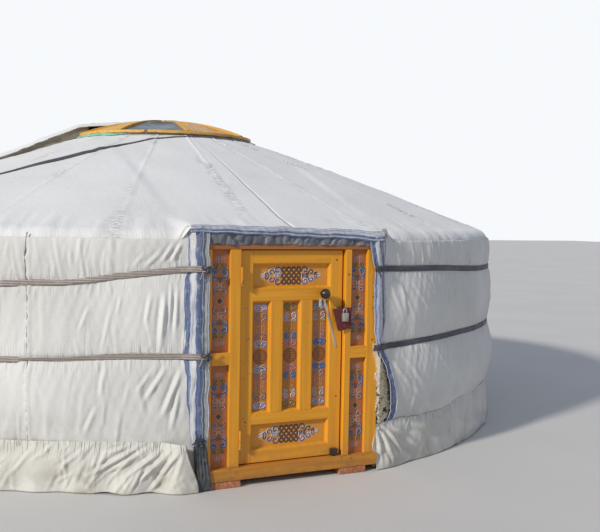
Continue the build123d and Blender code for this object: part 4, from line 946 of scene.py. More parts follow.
def webbing_finishes():
    """Pale striped webbing of the left girths, and dark webbing of the right ones and the flap's strap; on the right
    girths the darkness is painted shade.
    """
    webbing = Finish("webbing", rough=0.9, sheen=0.1)
    strands = webbing.math("SINE", webbing.math("MULTIPLY", webbing.axis(2), 430.0))
    tone = webbing.mix(webbing.span(strands, -0.4, 0.6), (0.20, 0.165, 0.15), (0.40, 0.35, 0.32))
    tone = webbing.mix(webbing.patches(4, 3, 0.45, 0.7, 0.4), tone, (0.27, 0.20, 0.18))
    tone = webbing.mix(webbing.patches(30, 4, 0.5, 0.75, 0.5), tone, (0.45, 0.42, 0.38))
    webbing.done(tone, webbing.bump(webbing.noise(60, 4, (1, 1, 3)), 0.002, 0.6))
    dark = mottled("dark_and_shaded_webbing", (5, 4, 0.35, 0.7), (0.040, 0.040, 0.052), (0.125, 0.12, 0.145),
                   ((70, 4, (1, 1, 3)), 0.002, 0.6), rough=0.85, sheen=0.1)
    return webbing.material, dark


def girth_bands(pale, dark):
    """Woven girths round the wall with their knots and tails at the door's hems."""
    # Painted shade: the right girths take the dark webbing.
    for side, finish, label in ((-1, pale, "left"), (1, dark, "right")):
        paths = []
        for knots, seed in ((ROPE_UP, 401), (ROPE_LOW, 402)):
            b = spaced_bearings(ROPE_END, 180, 0.5, 1.2) * side
            z = along_knots(b, knots)
            z = z + 0.002 * ripples(seed, np.radians(b) * WALL_R, b * 0, 6, 0.3, 1.5)
            points, facing = wall_path(b, z, 0.005)
            front = (np.abs(points[:, 0]) < 0.74) & (points[:, 1] < 0)
            points[front, 1] = np.minimum(points[front, 1], -2.983 + 0.6 * (np.abs(points[front, 0]) - 0.64).clip(0))
            facing = facing + np.stack([b * 0, b * 0, 0.9 * ripples(seed + 7, np.radians(b) * 3, b * 0, 3, 0.9, 2.5)
                                        * (np.abs(b + 27) < 6)], -1)
            paths.append((points, facing, 1.0))
        swept("girth_bands_" + label, paths, 0.040, 0.0055, finish, "girth_ropes")
        ends = []
        for knots in (ROPE_UP, ROPE_LOW):
            z = float(along_knots(ROPE_END * side, knots))
            out = np.array((0.15 * side, -1.0, 0.0))
            out /= np.linalg.norm(out)
            place = np.array((0.618 * side, -2.990, z))
            ends.append(knot(place, 0.016, out))
            fall = np.linspace(0, 1, 8)[:, None]
            tail = place + fall * np.array((0.012 * side, -0.001, -0.062))
            tail = tail + fall ** 2 * np.array((0.010 * side, 0.004, 0))
            ends.append((tail, out, np.linspace(1.0, 0.8, 8)))
        swept("girth_knots_" + label, ends, 0.012, 0.007, finish)


def girth_ties(finish):
    """Dark ties knotted over the ends of the left girths."""
    loops = []
    for knots, ends in ((ROPE_UP, ((0.045, 0.004), (0.078, 0.012))), (ROPE_LOW, ((0.040, 0.012), (0.075, 0.042)))):
        z = float(along_knots(-ROPE_END, knots))
        for dx, dz, size in ((0.028, 0.004, 0.022), (0.050, -0.008, 0.015)):
            loops.append(knot(np.array((-0.632 + dx, -2.997, z + dz)), size, np.array((-0.10, -0.995, 0.0))))
        line = flowing(((0.010, 0.0),) + ends, 10)
        loops.append((np.stack([line[:, 0] - 0.632, line[:, 0] * 0 - 2.992, line[:, 1] + z], -1), (0, -1, 0), 1.0))
        line = flowing(((0.030, 0.0), (0.034, -0.030), (0.022, -0.058)), 10)
        loops.append((np.stack([line[:, 0] - 0.632, line[:, 0] * 0 - 2.990, line[:, 1] + z], -1), (0, -1, 0), 0.8))
    swept("girth_ties_left", loops, 0.013, 0.008, finish)


def flap_strap_band(finish):
    """Dark strap of the flap, laid over the roof and round the front of the rim."""
    route = ((-66, 0.936), (-62.4, 0.764), (-54.8, 0.526), (-46.4, 0.371), (-34.7, 0.166), (-24.2, 0.073),
             (-11, 0.025), (5, 0.011), (24, 0.011), (43, 0.011), (62, 0.011), (81, 0.011), (100, 0.011))
    t = np.linspace(0, len(route) - 1, 90)
    b = np.interp(t, range(len(route)), [p[0] for p in route])
    r = RIM_R + np.interp(t, range(len(route)), [p[1] for p in route]) * (WALL_R - RIM_R)
    b[1:-1] = (b[:-2] + b[1:-1] + b[2:]) / 3
    points, _ = roof_surface(b, roof_share(r), 0.004)
    slant = np.stack([np.sin(np.radians(b)) * math.sin(SLOPE), -np.cos(np.radians(b)) * math.sin(SLOPE),
                      b * 0 + math.cos(SLOPE)], -1)
    twist = np.exp(-((b + 44) / 9) ** 2)[:, None]
    side = np.stack([np.sin(np.radians(b)), -np.cos(np.radians(b)), b * 0], -1)
    points = points + 0.008 * twist * slant
    path = (points, slant * (1 - twist) + side * twist, np.interp(b, (0, 40), (1.0, 1.5)))
    swept("flap_strap_band", [path], 0.028, 0.006, finish, "flap_strap")


def bound_cloth(name, bands):
    """White cloth with woven coloured bands across its width; the bands are (from, to, colour) in metres."""
    f = Finish(name, rough=0.88, sheen=0.1, use_cut=True)
    across = f.axis(0, f.place)
    wander = f.math("MULTIPLY", f.math("SUBTRACT", f.noise(9, 2, (0.2, 1, 1)), 0.5), 0.006)
    across = f.math("ADD", across, wander)
    tone = f.mix(f.patches(14, 5, 0.35, 0.7), (0.53, 0.55, 0.59), (0.68, 0.68, 0.69))
    crush_and_painted_shade = f.noise(1, 3, (75, 5, 1), warp=0.4)
    for start, end, colour in bands:
        inside = f.math("MULTIPLY", f.span(across, start, start + 0.002), f.span(across, end, end - 0.002), clamp=True)
        pale = tuple(min(1, 0.65 * c + 0.17) for c in colour)
        woven = f.mix(f.patches(1, 2, 0.35, 0.68, stretch=(500, 90, 1)), colour, pale)
        worn = f.span(f.noise(22, 5), 0.52, 0.8, 1.0, 0.35)
        tone = f.mix(f.math("MULTIPLY", inside, worn), tone, woven)
    tone = f.mix(f.patches(5, 6, 0.56, 0.75, 0.35), tone, EARTH)
    # Painted shade: the crushed folds' hollows are darkened in colour.
    tone = f.mix(f.span(crush_and_painted_shade, 0.46, 0.34, 0, 0.45), tone, (0.10, 0.13, 0.20))
    ribs = f.noise(1, 0, (600, 120, 1))
    return f.done(tone, f.bump(ribs, 0.001, 0.5, f.bump(crush_and_painted_shade, 0.012, 0.8)))


HEM_EDGES = {
    -1: (((0.28, 0.668), (0.347, 0.680), (0.567, 0.704), (0.86, 0.722), (1.263, 0.727), (1.40, 0.698), (1.66, 0.696)),
         ((0.28, 0.572), (0.86, 0.574), (1.60, 0.577))),
    1: (((0.28, 0.745), (0.326, 0.800), (0.394, 0.828), (0.464, 0.828), (0.571, 0.790), (0.642, 0.772), (0.734, 0.742),
         (0.81, 0.700), (0.88, 0.676), (1.066, 0.700), (1.236, 0.692), (1.38, 0.690), (1.576, 0.683), (1.66, 0.668)),
        ((0.28, 0.705), (0.329, 0.752), (0.384, 0.770), (0.467, 0.767), (0.537, 0.753), (0.622, 0.737), (0.714, 0.708),
         (0.807, 0.655), (0.88, 0.622), (0.93, 0.612), (1.24, 0.594), (1.38, 0.600), (1.534, 0.558), (1.66, 0.545))),
}


def hems():
    """Bound edges of the covers beside and above the door."""
    blue, deep, grey = (0.085, 0.145, 0.33), (0.035, 0.085, 0.24), (0.34, 0.37, 0.38)
    lavender, navy, slate = (0.25, 0.31, 0.50), (0.018, 0.035, 0.10), (0.085, 0.11, 0.15)
    # The left hem's bands from its inner edge, then the right hem's between the ropes, above and below them; the grey
    # and slate bands are painted shade along the hem's folded edges
    side_cloth = bound_cloth("hem_cloth_side", (
        (-0.01, 0.024, grey), (0.024, 0.038, slate), (0.043, 0.084, deep), (0.114, 0.147, blue),
        (1.006, 1.042, lavender), (1.064, 1.084, navy), (1.196, 1.235, deep), (1.268, 1.300, slate),
        (1.390, 1.450, deep)))
    top_cloth = bound_cloth("hem_cloth_top", ((-0.01, 0.005, blue), (0.009, 0.016, lavender), (0.029, 0.045, deep),
                                              (0.049, 0.063, blue)))
    for side, label in ((-1, "left"), (1, "right")):
        outer_knots, inner_knots = HEM_EDGES[side]
        u = np.linspace(0, 1, 17)
        z = np.linspace(0.285, 1.655 if side < 0 else 1.618, 170)
        uu, zz = np.meshgrid(u, z)
        outer, inner = along_knots(zz, outer_knots), along_knots(zz, inner_knots)
        x = inner + (outer - inner) * uu
        x = x + 0.003 * ripples(501 + side, zz, uu * 0, 7, 0.12, 0.6)
        x = x + 0.002 * ripples(505 + side, zz, uu * 0.05, 7, 0.03, 0.1)
        wall = wall_radius(np.degrees(np.arcsin(x / WALL_R)) * side, zz) + 0.004
        on_wall = np.sqrt(wall ** 2 - x ** 2)
        on_frame = 2.968 + 0.0015 * ripples(510 + side, zz, x, 8, 0.05, 0.25)
        on_frame = on_frame + np.interp(uu, (0, 0.10, 0.20, 0.28, 0.42, 0.56, 0.66, 0.80, 1.0),
                                        (0.004, 0.006, 0.0, 0.007, 0.011, 0.006, 0.001, 0.010, 0.003))
        share = smooth((x - 0.645) / 0.05)
        y = np.maximum(on_frame * (1 - share) + on_wall * share, np.where(x < 0.66, 2.9665, 0))
        points = np.stack([x * side, -y, zz], -1)
        strip = 0 if side < 0 else np.select([zz > 1.385, zz < 0.872], [1.2, 1.4], 1.0)
        uv = np.stack([(outer - inner) * uu + strip, zz], -1)
        piece = settled_cloth("door_hem_" + label, points, uv, 0.003, side_cloth, "door_hem",
                              flip=side < 0)
        edge = np.stack([points[:, -1, 0] + 0.001 * side, points[:, -1, 1] - 0.001, z], -1)
        inside = np.stack([points[:, 0, 0], points[:, 0, 1] - 0.001, z], -1)
        swept("hem_piping_" + label, [(edge, (0, -1, 0), 1.0), (inside, (0, -1, 0), 1.0)], 0.006, 0.005,
              tape_finish("piping_" + label, (0.30, 0.34, 0.52), (0.62, 0.64, 0.68)), sides=6)
    x = np.linspace(-0.70, 0.67, 190)
    v = np.linspace(0, 1, 13)
    xx, vv = np.meshgrid(x, v)
    top = along_knots(xx, ((-0.70, 1.664), (-0.07, 1.655), (0.40, 1.643), (0.67, 1.632)))
    foot = along_knots(xx, ((-0.70, 1.616), (-0.57, 1.612), (-0.07, 1.597), (0.40, 1.578), (0.67, 1.560)))
    z = foot + (top - foot) * vv + 0.0025 * ripples(521, xx, vv * 0, 6, 0.08, 0.5)
    y = 2.976 - 0.012 * vv ** 3 + 0.0025 * ripples(522, xx, z, 8, 0.04, 0.2) + 0.004 * np.abs(np.sin(vv * math.pi * 2))
    points = np.stack([xx, -y, z], -1)
    piece = settled_cloth("door_hem_top", points, np.stack([0.060 * (1 - vv), xx], -1), 0.003, top_cloth, "door_hem")


def header_tarp():
    """Crumpled grey sheet stuffed above the header."""
    f = Finish("dark_tarp", rough=0.6, use_cut=True)
    # Painted highlight: the paler tones over the dark sheet stand for its lit folds.
    tone = f.mix(f.patches(5, 3, 0.38, 0.66, stretch=(1, 0.3, 1), warp=1.0), (0.075, 0.085, 0.115), (0.27, 0.27, 0.29))
    tone = f.mix(f.patches(30, 4, 0.56, 0.76, 0.5, stretch=(1, 0.5, 1), warp=1.5), tone, (0.34, 0.34, 0.33))
    f.done(tone, f.bump(f.noise(30, 4, warp=1.0), 0.004, 0.6))
    x = np.linspace(-0.632, 0.575, 240)
    v = np.linspace(0, 1, 30)
    xx, vv = np.meshgrid(x, v)
    low = along_knots(xx, ((-0.63, 1.541), (-0.07, 1.540), (0.57, 1.536)))
    high = along_knots(xx, ((-0.63, 1.625), (-0.07, 1.612), (0.57, 1.585)))
    z = low + (high - low) * vv + 0.004 * ripples(531, xx, vv * 0, 6, 0.05, 0.3) * (1 - vv)
    lines = scattered(532, 34, (-0.60, 0.55), (1.55, 1.60), 40, (0.07, 0.13), (0.010, 0.022), (0.008, 0.016))
    y = 2.960 + 0.010 * vv + creases(xx, z, lines) + 0.002 * ripples(533, xx, z, 8, 0.03, 0.15)
    back, room = 2.9575, 0.017
    y = back + room * np.tanh(np.maximum(y - back, 0) / room)
    points = np.stack([xx, -y, z], -1)
    piece = settled_cloth("header_tarp", points, np.stack([xx, z], -1), 0.002, f.material, "door_top_felt")


def dark_tail():
    """Slate cloth hanging below the left hem over the frame's foot, with the dark tie that gathers it."""
    f = Finish("slate_cloth", rough=0.9, sheen=0.1, use_cut=True)
    tone = f.mix(f.patches(7, 4, 0.35, 0.7), (0.045, 0.052, 0.060), (0.080, 0.090, 0.100))
    tone = f.mix(f.patches(18, 5, 0.60, 0.75, 0.4), tone, EARTH)
    f.done(tone, f.bump(f.noise(25, 4, (1, 0.3, 1)), 0.005, 0.6))
    u, z = np.linspace(0, 1, 34), np.linspace(0.010, 0.345, 60)
    uu, zz = np.meshgrid(u, z)
    right = along_knots(zz, ((0.0, -0.556), (0.07, -0.560), (0.26, -0.578), (0.31, -0.600), (0.345, -0.618)))
    left = along_knots(zz, ((0.0, -0.646), (0.14, -0.648), (0.27, -0.662), (0.31, -0.664), (0.345, -0.650)))
    x = left + (right - left) * uu + 0.002 * ripples(562, zz, uu * 0, 5, 0.05, 0.3)
    lines = [(-0.640 + 0.016 * k, 0.34, -0.640 + 0.024 * k, 0.03, 0.008, 0.005) for k in range(4)]
    front = np.interp(zz, (0.0, 0.13, 0.17, 0.345), (2.995, 2.993, 2.976, 2.972))
    y = front + creases(x, zz, lines) + 0.0015 * ripples(563, x, zz, 9, 0.03, 0.12)
    points = np.stack([x, -y, zz], -1)
    piece = settled_cloth("slate_tail", points, np.stack([x, zz], -1), 0.003, f.material, None)
    tie = mottled("dark_tie", (40, 3, 0.3, 0.7), (0.020, 0.024, 0.032), (0.075, 0.082, 0.10),
                  ((70, 3), 0.002, 0.6), rough=0.85)
    place = np.array((-0.634, -2.990, 0.318))
    ends = [knot(place, 0.021, np.array((0.0, -1.0, 0.0)))]
    for dx, dz, bend in ((-0.048, -0.016, 0.012), (0.044, -0.004, 0.014), (0.036, -0.026, -0.006), (0.008, 0.044, 0.0),
                         (-0.024, 0.036, 0.008), (-0.030, -0.034, 0.0)):
        t = np.linspace(0, 1, 8)
        line = place + np.stack([dx * t, -0.006 * np.sin(math.pi * t), dz * t + bend * np.sin(math.pi * t)], -1)
        ends.append((line, (0, -1, 0), np.linspace(1.2, 0.5, 8)))
    swept("dark_tie", ends, 0.016, 0.006, tie)


def torn_felt():
    """Ragged felt showing where the canvas's edge has torn away beside the door."""
    z = np.linspace(0.275, 0.87, 120)
    u = np.linspace(0, 1, 26)
    uu, zz = np.meshgrid(u, z)
    outer = along_knots(zz, HEM_EDGES[1][1]) + 0.012
    rag = 0.008 * ripples(551, zz, uu * 0, 5, 0.10, 0.3) + 0.006 * ripples(552, zz, uu * 0, 9, 0.012, 0.05)
    inner = along_knots(zz, ((0.275, 0.664), (0.322, 0.664), (0.343, 0.656), (0.40, 0.641), (0.448, 0.636),
                             (0.551, 0.645), (0.614, 0.636), (0.642, 0.620), (0.689, 0.637), (0.745, 0.632),
                             (0.814, 0.612), (0.87, 0.606))) + 0.45 * rag
    x = inner + (np.maximum(outer, inner + 0.02) - inner) * uu
    belly = 0.020 * np.sin(np.pi * np.clip((zz - 0.26) / 0.62, 0, 1)) * (1 - uu)
    clumps = 0.006 * ripples(553, x, zz, 14, 0.015, 0.06) + 0.0025 * ripples(554, x, zz, 14, 0.006, 0.015)
    radius = 3.006 + belly + clumps
    y = np.sqrt(radius ** 2 - x ** 2)
    y = np.where(x < 0.665, np.maximum(y, 2.962), y)
    points = np.stack([x, -y, zz], -1)
    piece = settled_cloth("torn_felt_edge", points, np.stack([x, zz], -1), 0.008, lit_torn_wool, None)
    tufts = []
    rng = np.random.default_rng(555)
    for _ in range(110):
        k = rng.integers(1, len(z) - 1)
        root = points[k, 0]
        reach = rng.uniform(0.006, 0.020)
        turn = rng.uniform(-0.9, 0.9)
        t = np.linspace(0, 1, 5)[:, None]
        way = np.array((-math.cos(turn), rng.uniform(-0.5, 0.1), math.sin(turn)))
        bend = np.array((0, 0, rng.uniform(-0.6, 0.6)))
        tufts.append((root + reach * (way * t + bend * t ** 2), (0, -1, 0), np.linspace(1, 0.3, 5)))
    swept("torn_felt_tufts", tufts, 0.004, 0.003, lit_torn_wool, sides=4)


def crown_flap_cloth():
    """Flap thrown back from the crown and drawn taut down the rear left, white outside and brown inside, the brown felt
    darkened as painted shade.
    """
    # Painted shade: the lining's felt is darker than the wall felt, as the flap's shaded underside.
    lining = felt_finish("flap_lining_painted_shade", (0.30, 0.26, 0.20), (0.20, 0.17, 0.13))
    plan = [np.array(p) for p in ((-1.85, 0.15), (0.08, -0.04), (0.56, 1.5), (-1.15, 1.65))]
    u, v = np.linspace(0, 1, 96), np.concatenate([np.linspace(0, 0.06, 9)[:-1], np.linspace(0.06, 1, 56)])
    uu, vv = np.meshgrid(u, v)
    near = plan[0] + uu[..., None] * (plan[1] - plan[0])
    far = plan[3] + uu[..., None] * (plan[2] - plan[3])
    flat = near + vv[..., None] * (far - near)
    sag = 0.03 * np.sin(np.pi * uu) * np.exp(-vv / 0.1)
    flat[..., 1] += sag
    r = np.hypot(flat[..., 0], flat[..., 1])
    box_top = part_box("crown_flap")[1].z
    z = np.interp(r, (0.0, 0.199, 0.808, 2.76), (box_top - 0.001, box_top - 0.008, box_top - 0.075, 1.70))
    z += 0.005 * ripples(541, flat[..., 0], flat[..., 1], 9, 0.25, 0.9) * smooth(r / 0.5)
    z += creases(flat[..., 0], flat[..., 1], scattered(542, 40, (-1.8, 0.5), (0.0, 1.6), 70, (0.2, 0.6),
                                                      (0.01, 0.02), (0.002, 0.006)))
    lip = np.exp(-(vv / 0.022) ** 2)
    z -= 0.030 * lip * smooth((0.98 - uu) / 0.2)
    points = np.stack([flat[..., 0], flat[..., 1], z], -1)
    piece = settled_cloth("crown_flap_cloth", points, flat.copy(), 0.007, roof_cloth, "crown_flap",
                          lining=lining)
    edge = points[0][(np.hypot(points[0, :, 0], points[0, :, 1]) > RIM_R - 0.10) & (points[0, :, 0] < 0)]
    reach = np.hypot(edge[:, 0], edge[:, 1])
    roof = CORNER_Z + (WALL_R - reach) * math.tan(SLOPE) + 0.022
    roof = np.where(reach < RIM_R + 0.004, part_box("crown_rim")[1].z + 0.003, roof)
    drop = np.maximum(edge[:, 2] - 0.002 - roof, 0.004)
    t = np.linspace(0, 1, 9)[:, None]
    fall = np.stack([edge[:, 0] + 0 * t, edge[:, 1] + 0.012 * np.sin(math.pi * t) + 0.02 * t,
                     edge[:, 2] - 0.002 - drop * t], -1)
    fall[..., 1] += 0.004 * ripples(545, fall[..., 0], fall[..., 2], 7, 0.08, 0.4)
    cut = np.stack([fall[..., 0], fall[..., 2]], -1)
    # The fall takes the lining's painted shade.
    piece = settled_cloth("crown_flap_fall", fall, cut, 0.004, lining, None, flip=True)


def red_pad():
    """Folded red cloth behind the padlock, crumpled and cut away at its lower left."""
    f = Finish("red_cloth", rough=0.8, sheen=0.1, use_cut=True)
    tone = f.mix(f.patches(16, 4, 0.35, 0.7), (0.145, 0.016, 0.016), (0.070, 0.010, 0.010))
    tone = f.mix(f.patches(50, 4, 0.62, 0.78, 0.5), tone, (0.26, 0.10, 0.09))
    f.done(tone, f.bump(f.noise(40, 4, warp=1.0), 0.004, 0.7))
    low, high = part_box("lock_pad")
    u, v = np.meshgrid(np.linspace(0, 1, 34), np.linspace(0, 1, 38))
    left = low.x + 0.002 + 0.040 * (1 - v) ** 1.3 + 0.003 * ripples(571, v, u * 0, 4, 0.2, 0.7)
    right = high.x - 0.002 - 0.004 * v + 0.002 * ripples(572, v, u * 0, 4, 0.2, 0.7)
    x = left + (right - left) * u
    foot = low.z + 0.003 + 0.010 * u + 0.003 * ripples(573, u, v * 0, 4, 0.2, 0.8)
    z = foot + (high.z - 0.004 - 0.006 * (1 - u) - foot) * v
    crumple = creases(x, z, scattered(574, 12, (low.x, high.x), (low.z, high.z), 80, (0.04, 0.11), (0.005, 0.010),
                                      (0.002, 0.004)))
    y = -low.y - 0.0022 + 0.0022 * np.tanh(crumple / 0.003)
    red = settled_cloth("red_pad", np.stack([x, -y, z], -1), np.stack([x, z], -1), 0.006, f.material, "lock_pad",
                        body="leaf")


def crown_strip():
    """Strip of turquoise cloth that shows between the rim's left side and the canvas."""
    turquoise = mottled("turquoise_cloth", (20, 4, 0.35, 0.7), (0.12, 0.46, 0.38), (0.32, 0.60, 0.47),
                        ((80, 3), 0.002, 0.5), rough=0.85)
    b = np.linspace(-112, -40, 60)
    r = RIM_R + 0.012 + 0.003 * ripples(581, np.radians(b), b * 0, 5, 0.1, 0.4)
    points, _ = roof_surface(b, roof_share(r), 0.010)
    facing = round_points(np.full(len(b), 0.6), b, np.full(len(b), 0.8))
    swept("turquoise_strip", [(points, facing, np.interp(b, (-112, -104, -52, -40), (0.4, 1, 1, 0.3)))],
          0.036, 0.006, turquoise)


def wall_seams():
    """Sewn upright seams of the wall canvas: a dark strip along each, its stitching and the shade of the lap beside it
    painted in together.
    """
    stitching_and_painted_shade = mottled("seam_stitching_and_painted_shade", (40, 3, 0.4, 0.65, 1.0, (1, 1, 0.3)), (0.15, 0.15, 0.14), (0.42, 0.41, 0.38),
                     rough=0.9)
    paths = []
    for k, bearing in enumerate(THREAD_SEAMS):
        z = np.linspace(0.30, 1.60, 70)
        b = bearing + 0.10 * ripples(590 + k, z, z * 0, 4, 0.4, 1.5)
        points, facing = wall_path(b, z, 0.001, 0.004)
        points = points - facing * 0.0015
        paths.append((points, facing, 1.0 + 0.3 * ripples(600 + k, z, z * 0, 5, 0.05, 0.2)))
    swept("wall_seams", paths, 0.007, 0.004, stitching_and_painted_shade, sides=6)


def nail_heads():
    """Heads of nails on the frame's posts and of screws on the leaf."""
    rusty = mottled("rusty_nails", (80, 3, 0.4, 0.7), (0.06, 0.035, 0.025), (0.15, 0.07, 0.035), rough=0.6, metal=0.4)
    frame_nails = ((0.408, 1.345), (0.600, 1.190), (0.598, 1.115), (0.596, 0.90), (-0.598, 1.28), (-0.596, 0.62))
    leaf_screws = ((0.342, 0.525), (0.330, 1.44), (-0.31, 0.40))
    for name, body, face, places in (("frame_nails", "base", POST_FRONT, frame_nails),
                                     ("leaf_screws", "leaf", LEAF_FACE, leaf_screws)):
        paths = [((np.array((x, -face + 0.001, z)), np.array((x, -face - 0.0022, z))), (0, 0, 1), 1.0)
                 for x, z in places]
        swept(name, paths, 0.010, 0.010, rusty, body=body, sides=10)


# ---- Joinery

def refined(node, finish, bevel, body="base", segments=2, chipped=None):
    """A CAD node's shape with worn edges, in a finish, standing for that node; chipped gives cuts and depth."""
    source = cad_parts[node]
    shape = bmesh.new()
    shape.from_mesh(source.data)
    shape.transform(source.matrix_world)
    bmesh.ops.remove_doubles(shape, verts=shape.verts, dist=1e-5)
    bmesh.ops.dissolve_limit(shape, angle_limit=math.radians(0.8), verts=shape.verts, edges=shape.edges)
    if chipped:
        bmesh.ops.subdivide_edges(shape, edges=shape.edges, cuts=chipped[0], use_grid_fill=True)
        shape.normal_update()
        for vert in shape.verts:
            k = vert.co * 37
            wave = math.sin(3.1 * k.x + 1.3 * k.z) * math.sin(2.3 * k.z + 1.1)
            wave = wave + math.sin(7.7 * k.x) * math.sin(6.1 * k.y)
            corner = max(0.0, 1.7 - max(abs(c) for c in vert.normal) * 1.7)
            vert.co -= vert.normal * chipped[1] * (0.35 + 0.3 * wave + corner)
    mesh = bpy.data.meshes.new(node + "_worn")
    shape.to_mesh(mesh)
    shape.free()
    mesh.materials.clear()
    mesh.materials.append(finish)
    piece = bpy.data.objects.new(mesh.name, mesh)
    bpy.context.scene.collection.objects.link(piece)
    edges = piece.modifiers.new("edges", "BEVEL")
    edges.width, edges.segments, edges.limit_method, edges.angle_limit = bevel, segments, "ANGLE", math.radians(35)
    edges.use_clamp_overlap = True
    faces = piece.modifiers.new("faces", "WEIGHTED_NORMAL")
    faces.weight, faces.keep_sharp = 100, True
    piece.data.shade_smooth()
    piece.data.set_sharp_from_angle(angle=math.radians(50))
    settle(piece)
    declare(piece, node, body)


# Panels of the leaf as (middle across, middle height, width, height), and the middles of the frame's panels
PANEL_RECESS = 0.028
UPRIGHTS = [(x, 0.8135, 0.130, 0.729) for x in (-0.201, 0.011, 0.223)]
LEAF_LYING = [(0.011, 1.338, 0.554, 0.162), (0.011, 0.294, 0.554, 0.168)]
SIDE_PANELS = [(side * 0.491, z) for side in (-1, 1) for z in (1.185, 0.4515)]


def mouldings():
    """Planed mouldings round the leaf's recessed panels, mitred at the corners."""
    verts, faces = [], []
    profile = ((0.0, 0.0010), (0.0015, 0.0030), (0.0050, 0.0060), (0.0075, 0.0140), (0.0105, 0.0200),
               (0.0125, 0.0278), (0.0, 0.0278))
    for x, z, w, h in UPRIGHTS + LEAF_LYING:
        first = len(verts)
        for inset, depth in profile:
            a, b = w / 2 - inset - 0.0003, h / 2 - inset - 0.0003
            for sx, sz in ((-1, -1), (1, -1), (1, 1), (-1, 1)):
                verts.append((x + sx * a, -LEAF_FACE + depth, z + sz * b))
        rows = len(profile)
        for i in range(rows):
            j = (i + 1) % rows
            for k in range(4):
                m = (k + 1) % 4
                faces.append((first + 4 * i + k, first + 4 * j + k, first + 4 * j + m, first + 4 * i + m))
    piece = new_piece("leaf_mouldings", verts, faces, yellow_upright)
    shape = bmesh.new()
    shape.from_mesh(piece.data)
    bmesh.ops.recalc_face_normals(shape, faces=shape.faces)
    shape.to_mesh(piece.data)
    shape.free()
    declare(piece, body="leaf")


# ---- Painted ornament

STROKE, PAINT_HEIGHT = 0.005, 0.0003  # width and height of a plain brush stroke


def flowing(points, count=14):
    """Smooth line through a few points."""
    p = np.array(points, float)
    p = np.vstack([2 * p[0] - p[1], p, 2 * p[-1] - p[-2]])
    out = []
    for i in range(1, len(p) - 2):
        for t in np.linspace(0, 1, max(3, count // (len(p) - 3)), endpoint=False):
            out.append(0.5 * (2 * p[i] + (p[i + 1] - p[i - 1]) * t
                              + (2 * p[i - 1] - 5 * p[i] + 4 * p[i + 1] - p[i + 2]) * t ** 2
                              + (3 * p[i] - p[i - 1] - 3 * p[i + 1] + p[i + 2]) * t ** 3))
    out.append(p[-2])
    return np.array(out)


def curl(centre, radius, start, turns, count=15, close=0.28):
    """Spiral drawn inwards from an angle in degrees; negative turns run clockwise."""
    t = np.linspace(0, 1, count)
    angle = math.radians(start) + 2 * math.pi * turns * t
    reach = radius * (1 - (1 - close) * t ** 0.8)
    return np.stack([centre[0] + reach * np.cos(angle), centre[1] + reach * np.sin(angle)], -1)


